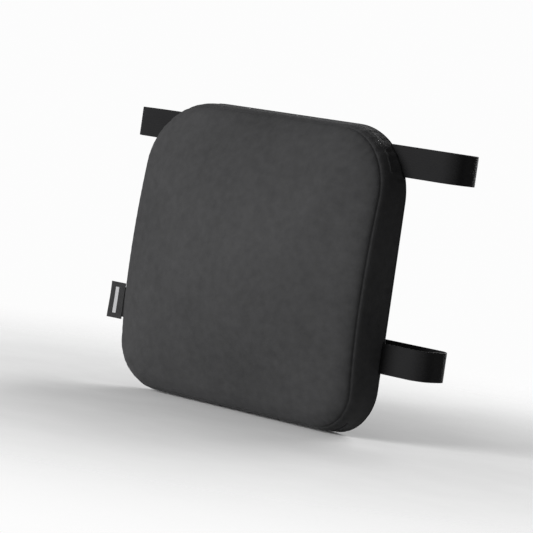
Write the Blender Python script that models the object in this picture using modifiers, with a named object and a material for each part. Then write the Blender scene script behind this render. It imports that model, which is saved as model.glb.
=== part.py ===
"""Lumbar support cushion with two buckled elastic straps.

Frame: origin on the outer face of the back panel, in the middle of the cushion.
-Y faces the sitter, +Y faces the chair's back, +X is the viewer's right, +Z is up.
All sizes are in metres.
"""

import math

import bmesh
import bpy
from mathutils import Matrix, Vector

# ---- driving dimensions ------------------------------------------------------------

GAP = 0.0003                      # between pieces that touch

CUSHION_WIDTH = 0.345
CUSHION_HEIGHT = 0.325
TOP_CORNER_RADIUS = 0.075
BOTTOM_CORNER_RADIUS = 0.052
EDGE_DEPTH_TOP = 0.043            # depth of the cushion at its outline
EDGE_DEPTH_LUMBAR = 0.060
EDGE_DEPTH_BOTTOM = 0.047
LUMBAR_Z = -0.030                 # height of the deepest part
CROWN = 0.026                     # how far the middle of the face stands out
FACE_EDGE_RADIUS = 0.028
SEAM_ANGLE = math.radians(30)     # where the front seam lies on the face's rounded edge
COVER_THICKNESS = 0.0012
FOAM_GAP = 0.0005
BACK_THICKNESS = 0.0016

ZIP_FROM_SIDE = 0.0605            # from the cushion's left side to the zip's middle
ZIP_LENGTH = 0.230
ZIP_WINDOW = 0.013                # clear width between the back panels' edges
TAPE_THICKNESS = 0.0008
TAPE_WIDTH = 0.0143
TAPE_SPLIT = 0.0014               # between the two tapes
COIL_WIDTH = 0.0026
COIL_THICKNESS = 0.0019
COIL_SPLIT = 0.0008               # between the two rows, for the slider's wedge
STOP_LENGTH = 0.0028
SLIDER_LENGTH = 0.0120
SLIDER_PLATE = 0.0010
SLIDER_WALL = 0.0014
WEDGE_THICKNESS = 0.0005
BRIDGE_HEIGHT = 0.0030
BRIDGE_LENGTH = 0.0075
BRIDGE_WIDTH = 0.0016
PULL_LENGTH = 0.026
PULL_WIDTH = 0.0078
PULL_THICKNESS = 0.0014

LABEL_HEIGHT = 0.040
LABEL_REACH = 0.020
LABEL_THICKNESS = 0.0010
LABEL_Z = -0.070

STRAP_WIDTH = 0.032
STRAP_THICKNESS = 0.0016
STRAP_SEWN_IN = 0.012             # how far a strap reaches in past the cushion's outline
STRAP_RETURN = 0.026              # sewn-back length behind the socket's bar
LOOP_DEPTH = 0.0455               # from the back panel's face to the strap's rear run
LOOP_CORNER_RADIUS = 0.018
UPPER_STRAP_FROM_TOP = 0.0325
UPPER_LOOP_HALF_WIDTH = 0.232
LOWER_STRAP_FROM_BOTTOM = 0.0865
LOWER_LOOP_HALF_WIDTH = 0.228
SPAN_FROM_WRAP = 0.036            # from the wrap's end to the strap's free span

SLOT_SIDE_CLEARANCE = 0.0008      # beside a strap in a webbing slot
SLOT_PLAY = 0.0039                # along a webbing slot, past one layer of strap
BAR_LENGTH = 0.0042               # of a webbing bar, along the strap
BAR_THICKNESS = 0.0034
FRAME_SIDE = 0.0040               # material beside a webbing slot

SOCKET_LENGTH = 0.032
SOCKET_THICKNESS = 0.011
SOCKET_WALL = 0.0021
SOCKET_SIDE_WALL = 0.0030
SOCKET_END_WALL = 0.0040
WINDOW_START = 0.0090             # from the socket's mouth
WINDOW_END = 0.0230
PLUG_LENGTH = 0.013
PLUG_STEP = 0.0005                # the plug's body is this much slimmer than the socket
GUIDE_LENGTH = 0.020
GUIDE_WIDTH = 0.0068
ARM_PLAY = 0.0008                 # above and below an arm in the socket
ARM_HINGE_X = -0.0035             # from the socket's mouth
ARM_SETBACK = 0.0038              # from the socket's inner side to the arm's middle
ARM_ROOT_RADIUS = 0.0018
ARM_STEM = 0.0024
ARM_END_X = 0.0270
ARM_CLEARANCE = 0.0006

GLIDE_X = -0.101                  # centre of the three-bar slide
GLIDE_PLAY = 0.0037               # along its slots, past two layers of strap
GLIDE_OUTER_BAR = 0.0035
GLIDE_THICKNESS = 0.0030
GLIDE_CENTRE_BAR = 0.0040

# ---- worked out from them ----------------------------------------------------------

HALF_WIDTH = CUSHION_WIDTH / 2
HALF_HEIGHT = CUSHION_HEIGHT / 2
ZIP_X = -(HALF_WIDTH - ZIP_FROM_SIDE)
UPPER_STRAP_Z = HALF_HEIGHT - UPPER_STRAP_FROM_TOP
LOWER_STRAP_Z = -(HALF_HEIGHT - LOWER_STRAP_FROM_BOTTOM)
FOAM_BACK_Y = -(BACK_THICKNESS + GAP)
SEWN_OUTER_Y = -(BACK_THICKNESS + GAP)
SEWN_Y = SEWN_OUTER_Y - STRAP_THICKNESS / 2
LAYER = STRAP_THICKNESS + GAP     # from one strap layer to the next
REAR_Y = LOOP_DEPTH + STRAP_THICKNESS / 2
SLOT_WIDTH = STRAP_WIDTH + 2 * SLOT_SIDE_CLEARANCE
FRAME_WIDTH = SLOT_WIDTH + 2 * FRAME_SIDE
SLOT_LENGTH = LAYER + SLOT_PLAY
GLIDE_SLOT = 2 * LAYER + GLIDE_PLAY
SOCKET_WIDTH = FRAME_WIDTH
ARM_HINGE_Z = SOCKET_WIDTH / 2 - SOCKET_SIDE_WALL - ARM_SETBACK
ARM_THICKNESS = SOCKET_THICKNESS - 2 * (SOCKET_WALL + ARM_PLAY)
BUCKLE_Y = LOOP_DEPTH + GAP + SOCKET_THICKNESS / 2
TAPE_OUTER_Y = -(BACK_THICKNESS + GAP)
COIL_INNER_Y = TAPE_OUTER_Y + GAP
COIL_OUTER_Y = COIL_INNER_Y + COIL_THICKNESS
WRAP_OFFSET = GAP + STRAP_THICKNESS / 2   # from a bar's surface to a strap's middle
WRAP_RADIUS = WRAP_OFFSET + 0.0002        # of a strap's middle where it turns round a bar


# ---- scene helpers -----------------------------------------------------------------

def clear_scene():
    for old in list(bpy.data.objects):
        bpy.data.objects.remove(old, do_unlink=True)


def new_collection(name):
    made = bpy.data.collections.new(name)
    bpy.context.scene.collection.children.link(made)
    return made


def make_material(name, colour, roughness, metallic=0.0):
    made = bpy.data.materials.new(name)
    made.use_nodes = True
    shader = made.node_tree.nodes["Principled BSDF"]
    shader.inputs["Base Color"].default_value = (*colour, 1.0)
    shader.inputs["Roughness"].default_value = roughness
    shader.inputs["Metallic"].default_value = metallic
    return made


clear_scene()
PARTS = new_collection("lumbar_cushion")
CUTTERS = new_collection("cutters")
FABRIC = make_material("cover_fabric", (0.040, 0.040, 0.043), 0.85)
BACKING = make_material("back_fabric", (0.030, 0.030, 0.032), 0.90)
FOAM = make_material("foam", (0.62, 0.58, 0.48), 0.95)
ELASTIC = make_material("elastic_webbing", (0.014, 0.014, 0.015), 0.80)
ACETAL = make_material("black_acetal", (0.012, 0.012, 0.013), 0.38)
TAPE = make_material("zip_tape", (0.018, 0.018, 0.019), 0.85)
NYLON = make_material("nylon_coil", (0.022, 0.022, 0.024), 0.45)
METAL = make_material("black_nickel", (0.10, 0.10, 0.11), 0.35, 0.9)
SATIN = make_material("woven_label", (0.020, 0.020, 0.022), 0.60)


def add_part(name, mesh, material):
    """Put a mesh in the model as a node of its own."""
    made = bpy.data.objects.new(name, mesh)
    made.data.materials.append(material)
    PARTS.objects.link(made)
    return made


def add_guide(name, mesh):
    """Put a mesh aside for Boolean modifiers to use."""
    made = bpy.data.objects.new(name, mesh)
    made.hide_render = True
    made.display_type = "WIRE"
    CUTTERS.objects.link(made)
    return made


def combine(target, other, operation):
    step = target.modifiers.new(operation.lower() + "_" + other.name, "BOOLEAN")
    step.operation = operation
    step.solver = "EXACT"
    step.object = other


def cut_box(target, low, high):
    combine(target, add_guide(target.name + "_cut", box_mesh(low, high)), "DIFFERENCE")


def join_box(target, low, high):
    combine(target, add_guide(target.name + "_add", box_mesh(low, high)), "UNION")


def round_edges(target, width, segments=2, angle=50):
    step = target.modifiers.new("round_edges", "BEVEL")
    step.width = width
    step.segments = segments
    step.limit_method = "ANGLE"
    step.angle_limit = math.radians(angle)
    step.use_clamp_overlap = True


def set_origin(target, point):
    """Move the object's origin to a point on its joint's axis."""
    target.data.transform(Matrix.Translation(-Vector(point)))
    target.location = point


# ---- shape helpers -----------------------------------------------------------------

def box_mesh(low, high):
    size = [b - a for a, b in zip(low, high)]
    middle = [(a + b) / 2 for a, b in zip(low, high)]
    bm = bmesh.new()
    bmesh.ops.create_cube(bm, size=1.0)
    bmesh.ops.scale(bm, vec=size, verts=bm.verts)
    bmesh.ops.translate(bm, vec=middle, verts=bm.verts)
    mesh = bpy.data.meshes.new("box")
    bm.to_mesh(mesh)
    bm.free()
    return mesh


def cylinder_mesh(radius, length, segments, middle, turn):
    """A cylinder about Z, turned and moved to its place."""
    bm = bmesh.new()
    bmesh.ops.create_cone(bm, cap_ends=True, segments=segments,
                          radius1=radius, radius2=radius, depth=length)
    bm.transform(Matrix.Translation(middle) @ turn)
    mesh = bpy.data.meshes.new("cylinder")
    bm.to_mesh(mesh)
    bm.free()
    return mesh


def outline_mesh(points, half_thickness, place=Matrix.Identity(4)):
    """A flat outline in local XY, extruded both ways along local Z."""
    curve = bpy.data.curves.new("outline", "CURVE")
    curve.dimensions = "2D"
    curve.fill_mode = "BOTH"
    curve.extrude = half_thickness
    spline = curve.splines.new("POLY")
    spline.points.add(len(points) - 1)
    for spot, (x, y) in zip(spline.points, points):
        spot.co = (x, y, 0.0, 1.0)
    spline.use_cyclic_u = True
    holder = bpy.data.objects.new("outline", curve)
    bpy.context.scene.collection.objects.link(holder)
    bpy.context.view_layer.update()
    mesh = bpy.data.meshes.new_from_object(holder.evaluated_get(bpy.context.evaluated_depsgraph_get()))
    bpy.data.objects.remove(holder)
    bm = bmesh.new()
    bm.from_mesh(mesh)
    bmesh.ops.remove_doubles(bm, verts=bm.verts, dist=1e-6)
    bmesh.ops.recalc_face_normals(bm, faces=bm.faces)
    bm.transform(place)
    bm.to_mesh(mesh)
    bm.free()
    return mesh


def rounded_path(corners, radii, steps=5):
    """The open path through the corners, with an arc of its own radius at each inner one."""
    path = [Vector(corners[0])]
    for before, corner, after, radius in zip(corners, corners[1:], corners[2:], radii):
        corner = Vector(corner)
        back = (Vector(before) - corner).normalized()
        ahead = (Vector(after) - corner).normalized()
        half = back.angle(ahead) / 2
        start = corner + back * (radius / math.tan(half))
        middle = corner + (back + ahead).normalized() * (radius / math.sin(half))
        sweep = math.pi - 2 * half
        turn = -1 if back.cross(ahead) > 0 else 1
        for k in range(steps + 1):
            path.append(middle + Matrix.Rotation(turn * sweep * k / steps, 2) @ (start - middle))
    path.append(Vector(corners[-1]))
    return path


def ribbon_mesh(path, z):
    """A strap on edge: its path lies in XY and its width is along Z."""
    sides = ([], [])
    for k, point in enumerate(path):
        into = (point - path[k - 1]).normalized() if k else None
        out = (path[k + 1] - point).normalized() if k + 1 < len(path) else None
        along = ((into or out) + (out or into)).normalized()
        stretch = 1 / max(along.dot(into or out), 0.5)
        across = Vector((-along.y, along.x)) * (STRAP_THICKNESS / 2 * stretch)
        sides[0].append(point + across)
        sides[1].append(point - across)
    outline = sides[0] + sides[1][::-1]
    return outline_mesh(outline, STRAP_WIDTH / 2, Matrix.Translation((0, 0, z)))


def loft_mesh(rings, tip=None, back_cap=False):
    """A skin over rings of equally many points, with a fan to the tip and a cap on the first ring."""
    bm = bmesh.new()
    made = [[bm.verts.new(p) for p in ring] for ring in rings]
    count = len(rings[0])
    for low, high in zip(made, made[1:]):
        for k in range(count):
            bm.faces.new((low[k], low[(k + 1) % count], high[(k + 1) % count], high[k]))
    if tip is not None:
        end = bm.verts.new(tip)
        for k in range(count):
            bm.faces.new((made[-1][k], made[-1][(k + 1) % count], end))
    if back_cap:
        bm.faces.new(made[0][::-1])
    mesh = bpy.data.meshes.new("loft")
    bm.to_mesh(mesh)
    bm.free()
    return mesh


# ---- the cushion's form ------------------------------------------------------------

CORNER_STEPS = 6
SIDE_STEPS = 6
ROUND_STEPS = 4
CROWN_RINGS = (0.14, 0.30, 0.48, 0.68, 0.86)


def edge_depth(z):
    """Depth of the cushion at its outline, deepest at the lumbar height."""
    if z > LUMBAR_Z:
        fall = EDGE_DEPTH_LUMBAR - EDGE_DEPTH_TOP
        share = (z - LUMBAR_Z) / (HALF_HEIGHT - LUMBAR_Z)
    else:
        fall = EDGE_DEPTH_LUMBAR - EDGE_DEPTH_BOTTOM
        share = (LUMBAR_Z - z) / (HALF_HEIGHT + LUMBAR_Z)
    return EDGE_DEPTH_LUMBAR - fall * share ** 2


def corner_points(inset):
    """The cushion's outline seen from the front, drawn in by inset: four arcs, from the bottom right up."""
    points = []
    corners = ((1, -1, BOTTOM_CORNER_RADIUS, -90), (1, 1, TOP_CORNER_RADIUS, 0),
               (-1, 1, TOP_CORNER_RADIUS, 90), (-1, -1, BOTTOM_CORNER_RADIUS, 180))
    for side_x, side_z, radius, start in corners:
        middle = Vector((side_x * (HALF_WIDTH - radius), side_z * (HALF_HEIGHT - radius)))
        for k in range(CORNER_STEPS + 1):
            angle = math.radians(start + 90 * k / CORNER_STEPS)
            points.append(middle + (radius - inset) * Vector((math.cos(angle), math.sin(angle))))
    return points


def outline_points(inset):
    """The same outline with points along its straight sides too."""
    points = corner_points(inset)
    filled = []
    for k, point in enumerate(points):
        filled.append(point)
        if (k + 1) % (CORNER_STEPS + 1) == 0:
            after = points[(k + 1) % len(points)]
            filled += [point.lerp(after, step / SIDE_STEPS) for step in range(1, SIDE_STEPS)]
    return filled


def side_ring(depth_share, inset):
    """A ring on the side wall, from the back (0) to where the face's rounding starts (1)."""
    ring = []
    for x, z in outline_points(inset):
        front = edge_depth(z) - FACE_EDGE_RADIUS
        ring.append((x, FOAM_BACK_Y + depth_share * (-front - FOAM_BACK_Y), z))
    return ring


def rounding_ring(angle, inset):
    """A ring on the face's rounded edge, at an angle from the side wall."""
    radius = FACE_EDGE_RADIUS - inset
    ring = []
    for x, z in outline_points(inset + radius * (1 - math.cos(angle))):
        depth = edge_depth(z) - FACE_EDGE_RADIUS + radius * math.sin(angle)
        ring.append((x, -depth, z))
    return ring


ROUNDING_END = math.radians(68)   # the rounding meets the crowned face here


def crown_ring(share, inset):
    """A ring on the crowned face, from the rounding's end (0) to the middle (1).

    The rings go from the outline's shape to an ellipse, which keeps ridges off the diagonals.
    """
    radius = FACE_EDGE_RADIUS - inset
    start = radius * math.sin(ROUNDING_END)
    drawn_in = inset + radius * (1 - math.cos(ROUNDING_END))
    half_x, half_z = HALF_WIDTH - drawn_in, HALF_HEIGHT - drawn_in
    ring = []
    for x, z in outline_points(drawn_in):
        around = math.atan2(z / half_z, x / half_x)
        oval = Vector((half_x * math.cos(around), half_z * math.sin(around)))
        x, z = Vector((x, z)).lerp(oval, math.sqrt(share)) * (1 - share)
        rise = (CROWN + FACE_EDGE_RADIUS - inset - start) * (1 - (1 - share) ** 2)
        ring.append((x, -(edge_depth(z) - FACE_EDGE_RADIUS + start + rise), z))
    return ring


def crown_tip(inset):
    return (0.0, -(edge_depth(0.0) + CROWN - inset), 0.0)


def rounding_angles(first, last, steps):
    return [first + (last - first) * k / steps for k in range(steps + 1)]


SEAM_HALF_ANGLE = GAP / FACE_EDGE_RADIUS


def foam_core():
    inset = COVER_THICKNESS + FOAM_GAP
    rings = [side_ring(0.0, inset), side_ring(0.5, inset)]
    rings += [rounding_ring(a, inset) for a in rounding_angles(0.0, ROUNDING_END, ROUND_STEPS)]
    rings += [crown_ring(share, inset) for share in CROWN_RINGS]
    foam = add_part("foam_core", loft_mesh(rings, crown_tip(inset), back_cap=True), FOAM)
    trough = TAPE_SPLIT / 2 + TAPE_WIDTH + 0.001
    slider_inner_y = TAPE_OUTER_Y - TAPE_THICKNESS - GAP - SLIDER_PLATE
    cut_box(foam, (ZIP_X - trough, slider_inner_y - 0.001, -ZIP_LENGTH / 2 - 0.002),
            (ZIP_X + trough, 0.001, ZIP_LENGTH / 2 + 0.002))
    for z in (UPPER_STRAP_Z, LOWER_STRAP_Z):
        for side in (-1, 1):
            cut_strap_recess(foam, side, z)


def outline_half_width(z):
    """Half the cushion's width at a height."""
    radius = TOP_CORNER_RADIUS if z > 0 else BOTTOM_CORNER_RADIUS
    past = max(abs(z) - (HALF_HEIGHT - radius), 0.0)
    return HALF_WIDTH - radius + math.sqrt(radius ** 2 - past ** 2)


def sewn_end_x(z):
    """Where a strap's sewn end lies inside the back seam."""
    narrowest = min(outline_half_width(z + STRAP_WIDTH / 2), outline_half_width(z - STRAP_WIDTH / 2))
    return narrowest - STRAP_SEWN_IN


def cut_strap_recess(target, side, z):
    ends = sorted((side * (sewn_end_x(z) - GAP), side * (HALF_WIDTH + 0.005)))
    half = STRAP_WIDTH / 2 + GAP
    cut_box(target, (ends[0], SEWN_OUTER_Y - STRAP_THICKNESS - GAP, z - half),
            (ends[1], 0.001, z + half))


def front_panel():
    angles = rounding_angles(SEAM_ANGLE + SEAM_HALF_ANGLE, ROUNDING_END, ROUND_STEPS - 1)
    rings = [rounding_ring(a, 0.0) for a in angles]
    rings += [crown_ring(share, 0.0) for share in CROWN_RINGS]
    panel = add_part("cover_front_panel", loft_mesh(rings, crown_tip(0.0)), FABRIC)
    thicken(panel)


def boxing():
    rings = [side_ring(0.0, 0.0), side_ring(0.5, 0.0)]
    rings += [rounding_ring(a, 0.0) for a in rounding_angles(0.0, SEAM_ANGLE - SEAM_HALF_ANGLE, 2)]
    band = add_part("cover_boxing", loft_mesh(rings), FABRIC)
    thicken(band)
    for z in (UPPER_STRAP_Z, LOWER_STRAP_Z):
        for side in (-1, 1):
            cut_strap_recess(band, side, z)


def thicken(target):
    step = target.modifiers.new("thickness", "SOLIDIFY")
    step.thickness = COVER_THICKNESS
    step.offset = -1.0
    step.use_even_offset = True


def back_panels():
    """Two panels that meet above and below the zip and leave a window beside it."""
    flat = Matrix.Translation((0, -BACK_THICKNESS / 2, 0)) @ Matrix.Rotation(math.pi / 2, 4, "X")
    beyond = max(HALF_WIDTH, HALF_HEIGHT) + 0.01
    window = ZIP_WINDOW / 2
    top = ZIP_LENGTH / 2 + GAP
    for name, keep in (("back_panel_main", 1), ("back_panel_side", -1)):
        panel = add_part(name, outline_mesh(corner_points(0.0), BACK_THICKNESS / 2, flat), BACKING)
        ends = sorted((ZIP_X + keep * GAP / 2, -keep * beyond))
        cut_box(panel, (ends[0], -0.01, -beyond), (ends[1], 0.01, beyond))
        cut_box(panel, (ZIP_X - window, -0.01, -top), (ZIP_X + window, 0.01, top))


# ---- the zip -----------------------------------------------------------------------

def zip_rows():
    half = ZIP_LENGTH / 2
    coil_half = half - STOP_LENGTH - 2 * GAP
    stop_z = (coil_half + GAP, coil_half + GAP + STOP_LENGTH)
    for side, word in ((-1, "side"), (1, "main")):
        tape = sorted((ZIP_X + side * TAPE_SPLIT / 2, ZIP_X + side * (TAPE_SPLIT / 2 + TAPE_WIDTH)))
        coil = sorted((ZIP_X + side * COIL_SPLIT / 2, ZIP_X + side * (COIL_SPLIT / 2 + COIL_WIDTH)))
        add_part("zip_tape_" + word, box_mesh((tape[0], TAPE_OUTER_Y - TAPE_THICKNESS, -half),
                                              (tape[1], TAPE_OUTER_Y, half)), TAPE)
        add_part("zip_coil_" + word, box_mesh((coil[0], COIL_INNER_Y, -coil_half),
                                              (coil[1], COIL_OUTER_Y, coil_half)), NYLON)
        add_part("zip_top_stop_" + word, box_mesh((coil[0], COIL_INNER_Y, stop_z[0]),
                                                  (coil[1], COIL_OUTER_Y, stop_z[1])), METAL)
    reach = COIL_SPLIT / 2 + COIL_WIDTH
    add_part("zip_bottom_stop", box_mesh((ZIP_X - reach, COIL_INNER_Y, -stop_z[1]),
                                         (ZIP_X + reach, COIL_OUTER_Y, -stop_z[0])), METAL)


SLIDER_Z = ZIP_LENGTH / 2 - STOP_LENGTH - 3 * GAP - SLIDER_LENGTH / 2
SLIDER_TOP_Y = COIL_OUTER_Y + GAP
PULL_AXIS_Y = SLIDER_TOP_Y + SLIDER_PLATE + GAP + PULL_THICKNESS / 2


def zip_slider():
    inner = COIL_SPLIT / 2 + COIL_WIDTH + GAP
    outer = inner + SLIDER_WALL
    low, high = SLIDER_Z - SLIDER_LENGTH / 2, SLIDER_Z + SLIDER_LENGTH / 2
    plate_y = SLIDER_TOP_Y + SLIDER_PLATE
    under_y = TAPE_OUTER_Y - TAPE_THICKNESS - GAP
    slider = add_part("zip_slider", box_mesh((ZIP_X - outer, SLIDER_TOP_Y, low),
                                             (ZIP_X + outer, plate_y, high)), METAL)
    for side in (-1, 1):
        wall = sorted((ZIP_X + side * inner, ZIP_X + side * outer))
        join_box(slider, (wall[0], TAPE_OUTER_Y + GAP, low), (wall[1], SLIDER_TOP_Y + 0.0005, high))
    join_box(slider, (ZIP_X - outer, under_y - SLIDER_PLATE, low), (ZIP_X + outer, under_y, high))
    join_box(slider, (ZIP_X - WEDGE_THICKNESS / 2, under_y - 0.0005, high - 0.004),
             (ZIP_X + WEDGE_THICKNESS / 2, SLIDER_TOP_Y + 0.0005, high - 0.001))
    bridge = BRIDGE_LENGTH / 2
    join_box(slider, (ZIP_X - BRIDGE_WIDTH / 2, plate_y - 0.0005, SLIDER_Z - bridge),
             (ZIP_X + BRIDGE_WIDTH / 2, plate_y + BRIDGE_HEIGHT, SLIDER_Z + bridge))
    hole = bridge - 0.0012
    cut_box(slider, (ZIP_X - 0.01, plate_y, SLIDER_Z - hole),
            (ZIP_X + 0.01, plate_y + BRIDGE_HEIGHT - 0.0009, SLIDER_Z + hole))
    set_origin(slider, (ZIP_X, 0.0, SLIDER_Z))


def zip_pull():
    """A flat tab that hangs from the slider's bridge; the bar through the bridge is its axis."""
    half = PULL_WIDTH / 2
    place = Matrix.Translation((ZIP_X, PULL_AXIS_Y, SLIDER_Z)) @ Matrix.Rotation(math.pi / 2, 4, "X")
    bar = PULL_THICKNESS / 2
    tip = -PULL_LENGTH
    points = [(-half, bar), (half, bar), (half, -0.010), (half * 0.72, -0.012),
              (half * 0.92, tip + 0.004), (half * 0.55, tip), (-half * 0.55, tip),
              (-half * 0.92, tip + 0.004), (-half * 0.72, -0.012), (-half, -0.010)]
    pull = add_part("zip_pull", outline_mesh(points, PULL_THICKNESS / 2, place), METAL)
    slot = BRIDGE_WIDTH / 2 + 0.0009
    cut_box(pull, (ZIP_X - slot, PULL_AXIS_Y - 0.01, SLIDER_Z - 0.0085),
            (ZIP_X + slot, PULL_AXIS_Y + 0.01, SLIDER_Z - bar))
    cut_box(pull, (ZIP_X - 0.0012, PULL_AXIS_Y - 0.01, SLIDER_Z - 0.0225),
            (ZIP_X + 0.0012, PULL_AXIS_Y + 0.01, SLIDER_Z - 0.0165))
    set_origin(pull, (ZIP_X, PULL_AXIS_Y, SLIDER_Z))


def side_label():
    """A folded label caught in the front seam at the left side."""
    ring = [p for angle in (SEAM_ANGLE - 0.08, SEAM_ANGLE, SEAM_ANGLE + 0.08)
            for p in rounding_ring(angle, 0.0)]
    low, high = LABEL_Z - LABEL_HEIGHT / 2, LABEL_Z + LABEL_HEIGHT / 2
    depth = edge_depth(LABEL_Z) - FACE_EDGE_RADIUS + FACE_EDGE_RADIUS * math.sin(SEAM_ANGLE)
    reached = [-x for x, y, z in ring if x < 0 and low - 0.02 < z < high + 0.02
               and abs(y + depth) < 0.003]
    start = max(reached) + GAP
    add_part("side_label", box_mesh((-start - LABEL_REACH, -depth - LABEL_THICKNESS / 2, low),
                                    (-start, -depth + LABEL_THICKNESS / 2, high)), SATIN)


# ---- straps and buckles ------------------------------------------------------------

SOCKET_BAR_X = SOCKET_LENGTH + 0.002 + SLOT_LENGTH + BAR_LENGTH / 2
PLUG_BAR_X = -(PLUG_LENGTH + 0.002 + SLOT_LENGTH + BAR_LENGTH / 2)
BAR_REACH = BAR_LENGTH / 2 + WRAP_OFFSET         # from a bar's middle to the strap round it
BAR_RISE = BAR_THICKNESS / 2 + WRAP_OFFSET
GLIDE_HALF = GLIDE_CENTRE_BAR / 2 + GLIDE_SLOT + GLIDE_OUTER_BAR
GLIDE_Y = REAR_Y + LAYER + WRAP_OFFSET + GLIDE_THICKNESS / 2
THREADED_HALF = GLIDE_HALF + 0.001               # the threaded piece ends just outside the slide
LEG_Y = REAR_Y                                   # the strap's return leg lies against the chair
MAIN_Y = REAR_Y + LAYER                          # the main run lies over it


def strap_right(name, z, half_width):
    """Sewn end, front run, wrap round the chair, rear run and the loop on the socket's bar."""
    edge = half_width - STRAP_THICKNESS / 2
    bar = SOCKET_BAR_X
    settle = bar + 0.022
    corners = [(sewn_end_x(z), SEWN_Y), (edge, SEWN_Y), (edge, REAR_Y), (settle, REAR_Y),
               (bar + 0.006, BUCKLE_Y - BAR_RISE), (bar - BAR_REACH, BUCKLE_Y - BAR_RISE),
               (bar - BAR_REACH, BUCKLE_Y + BAR_RISE), (bar + 0.006, BUCKLE_Y + BAR_RISE),
               (settle + 0.004, REAR_Y + LAYER), (settle + STRAP_RETURN, REAR_Y + LAYER)]
    radii = [LOOP_CORNER_RADIUS, LOOP_CORNER_RADIUS, 0.012, 0.010, WRAP_RADIUS, WRAP_RADIUS, 0.008, 0.010]
    add_part(name, ribbon_mesh(rounded_path(corners, radii), z), ELASTIC)


def span_start_x(half_width):
    """Where the free span begins, past the wrap round the chair's edge."""
    return -(half_width - LOOP_CORNER_RADIUS - SPAN_FROM_WRAP)


def strap_left(name, z, half_width):
    """Sewn end, front run and wrap round the chair, up to the free span."""
    edge = half_width - STRAP_THICKNESS / 2
    corners = [(-sewn_end_x(z), SEWN_Y), (-edge, SEWN_Y), (-edge, REAR_Y),
               (span_start_x(half_width), REAR_Y)]
    radii = [LOOP_CORNER_RADIUS, LOOP_CORNER_RADIUS]
    add_part(name, ribbon_mesh(rounded_path(corners, radii), z), ELASTIC)


def strap_span(name, z, half_width):
    """The stretch that shortens and lengthens, from the wrap to the three-bar slide."""
    start = span_start_x(half_width) + GAP
    end = GLIDE_X - THREADED_HALF - GAP
    bend = (end - start) / 4
    corners = [(start, REAR_Y), (start + bend, REAR_Y), (end - bend, MAIN_Y), (end, MAIN_Y)]
    add_part(name, ribbon_mesh(rounded_path(corners, [0.03, 0.03], 3), z), ELASTIC)


def strap_threaded(name, z):
    """The stretch woven through the slide: under, over the centre bar and under again."""
    crest = GLIDE_Y + GLIDE_THICKNESS / 2 + WRAP_OFFSET + LAYER
    climb = GLIDE_CENTRE_BAR / 2 + GLIDE_SLOT - 0.0010
    shoulder = GLIDE_CENTRE_BAR / 2 + LAYER + 0.0010
    corners = [(-THREADED_HALF, MAIN_Y), (-climb, MAIN_Y), (-shoulder, crest),
               (shoulder, crest), (climb, MAIN_Y), (THREADED_HALF, MAIN_Y)]
    corners = [(GLIDE_X + x, y) for x, y in corners]
    radii = [0.0012, 0.0018, 0.0018, 0.0012]
    threaded = add_part(name, ribbon_mesh(rounded_path(corners, radii, 4), z), ELASTIC)
    set_origin(threaded, (GLIDE_X, GLIDE_Y, z))


def strap_anchor(name, z):
    """The strap's end, sewn in a loop round the slide's centre bar."""
    reach = GLIDE_CENTRE_BAR / 2 + WRAP_OFFSET
    rise = GLIDE_THICKNESS / 2 + WRAP_OFFSET
    start = GLIDE_HALF - GLIDE_OUTER_BAR - 0.0022
    corners = [(THREADED_HALF, LEG_Y), (start, LEG_Y), (reach + 0.0006, GLIDE_Y - rise),
               (-reach, GLIDE_Y - rise), (-reach, GLIDE_Y + rise), (reach, GLIDE_Y + rise),
               (reach, GLIDE_Y - rise + STRAP_THICKNESS / 2 + GAP)]
    corners = [(GLIDE_X + x, y) for x, y in corners]
    radii = [0.002, 0.001, WRAP_RADIUS, WRAP_RADIUS, WRAP_RADIUS]
    anchor = add_part(name, ribbon_mesh(rounded_path(corners, radii, 4), z), ELASTIC)
    set_origin(anchor, (GLIDE_X, GLIDE_Y, z))


def strap_doubled(name, z):
    """Main run to the plug's bar, round it, and the return leg to the slide."""
    start = GLIDE_X + THREADED_HALF + GAP
    bar = PLUG_BAR_X
    corners = [(start, MAIN_Y), (start + 0.012, MAIN_Y), (bar - 0.006, BUCKLE_Y + BAR_RISE),
               (bar + BAR_REACH, BUCKLE_Y + BAR_RISE), (bar + BAR_REACH, BUCKLE_Y - BAR_RISE),
               (bar - 0.006, BUCKLE_Y - BAR_RISE), (bar - 0.024, LEG_Y), (start, LEG_Y)]
    radii = [0.02, 0.02, WRAP_RADIUS, WRAP_RADIUS, 0.02, 0.02]
    doubled = add_part(name, ribbon_mesh(rounded_path(corners, radii, 4), z), ELASTIC)
    set_origin(doubled, (PLUG_BAR_X, BUCKLE_Y, z))


def webbing_frame(target, start, direction, z):
    """A slotted end with a bar for a strap, grown along X from a buckle half."""
    slot = sorted((start + direction * 0.002, start + direction * (0.002 + SLOT_LENGTH)))
    ends = sorted((start - direction * 0.003, start + direction * (0.002 + SLOT_LENGTH + BAR_LENGTH)))
    half = BAR_THICKNESS / 2
    join_box(target, (ends[0], BUCKLE_Y - half, z - FRAME_WIDTH / 2),
             (ends[1], BUCKLE_Y + half, z + FRAME_WIDTH / 2))
    cut_box(target, (slot[0], BUCKLE_Y - 0.01, z - SLOT_WIDTH / 2),
            (slot[1], BUCKLE_Y + 0.01, z + SLOT_WIDTH / 2))


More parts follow.
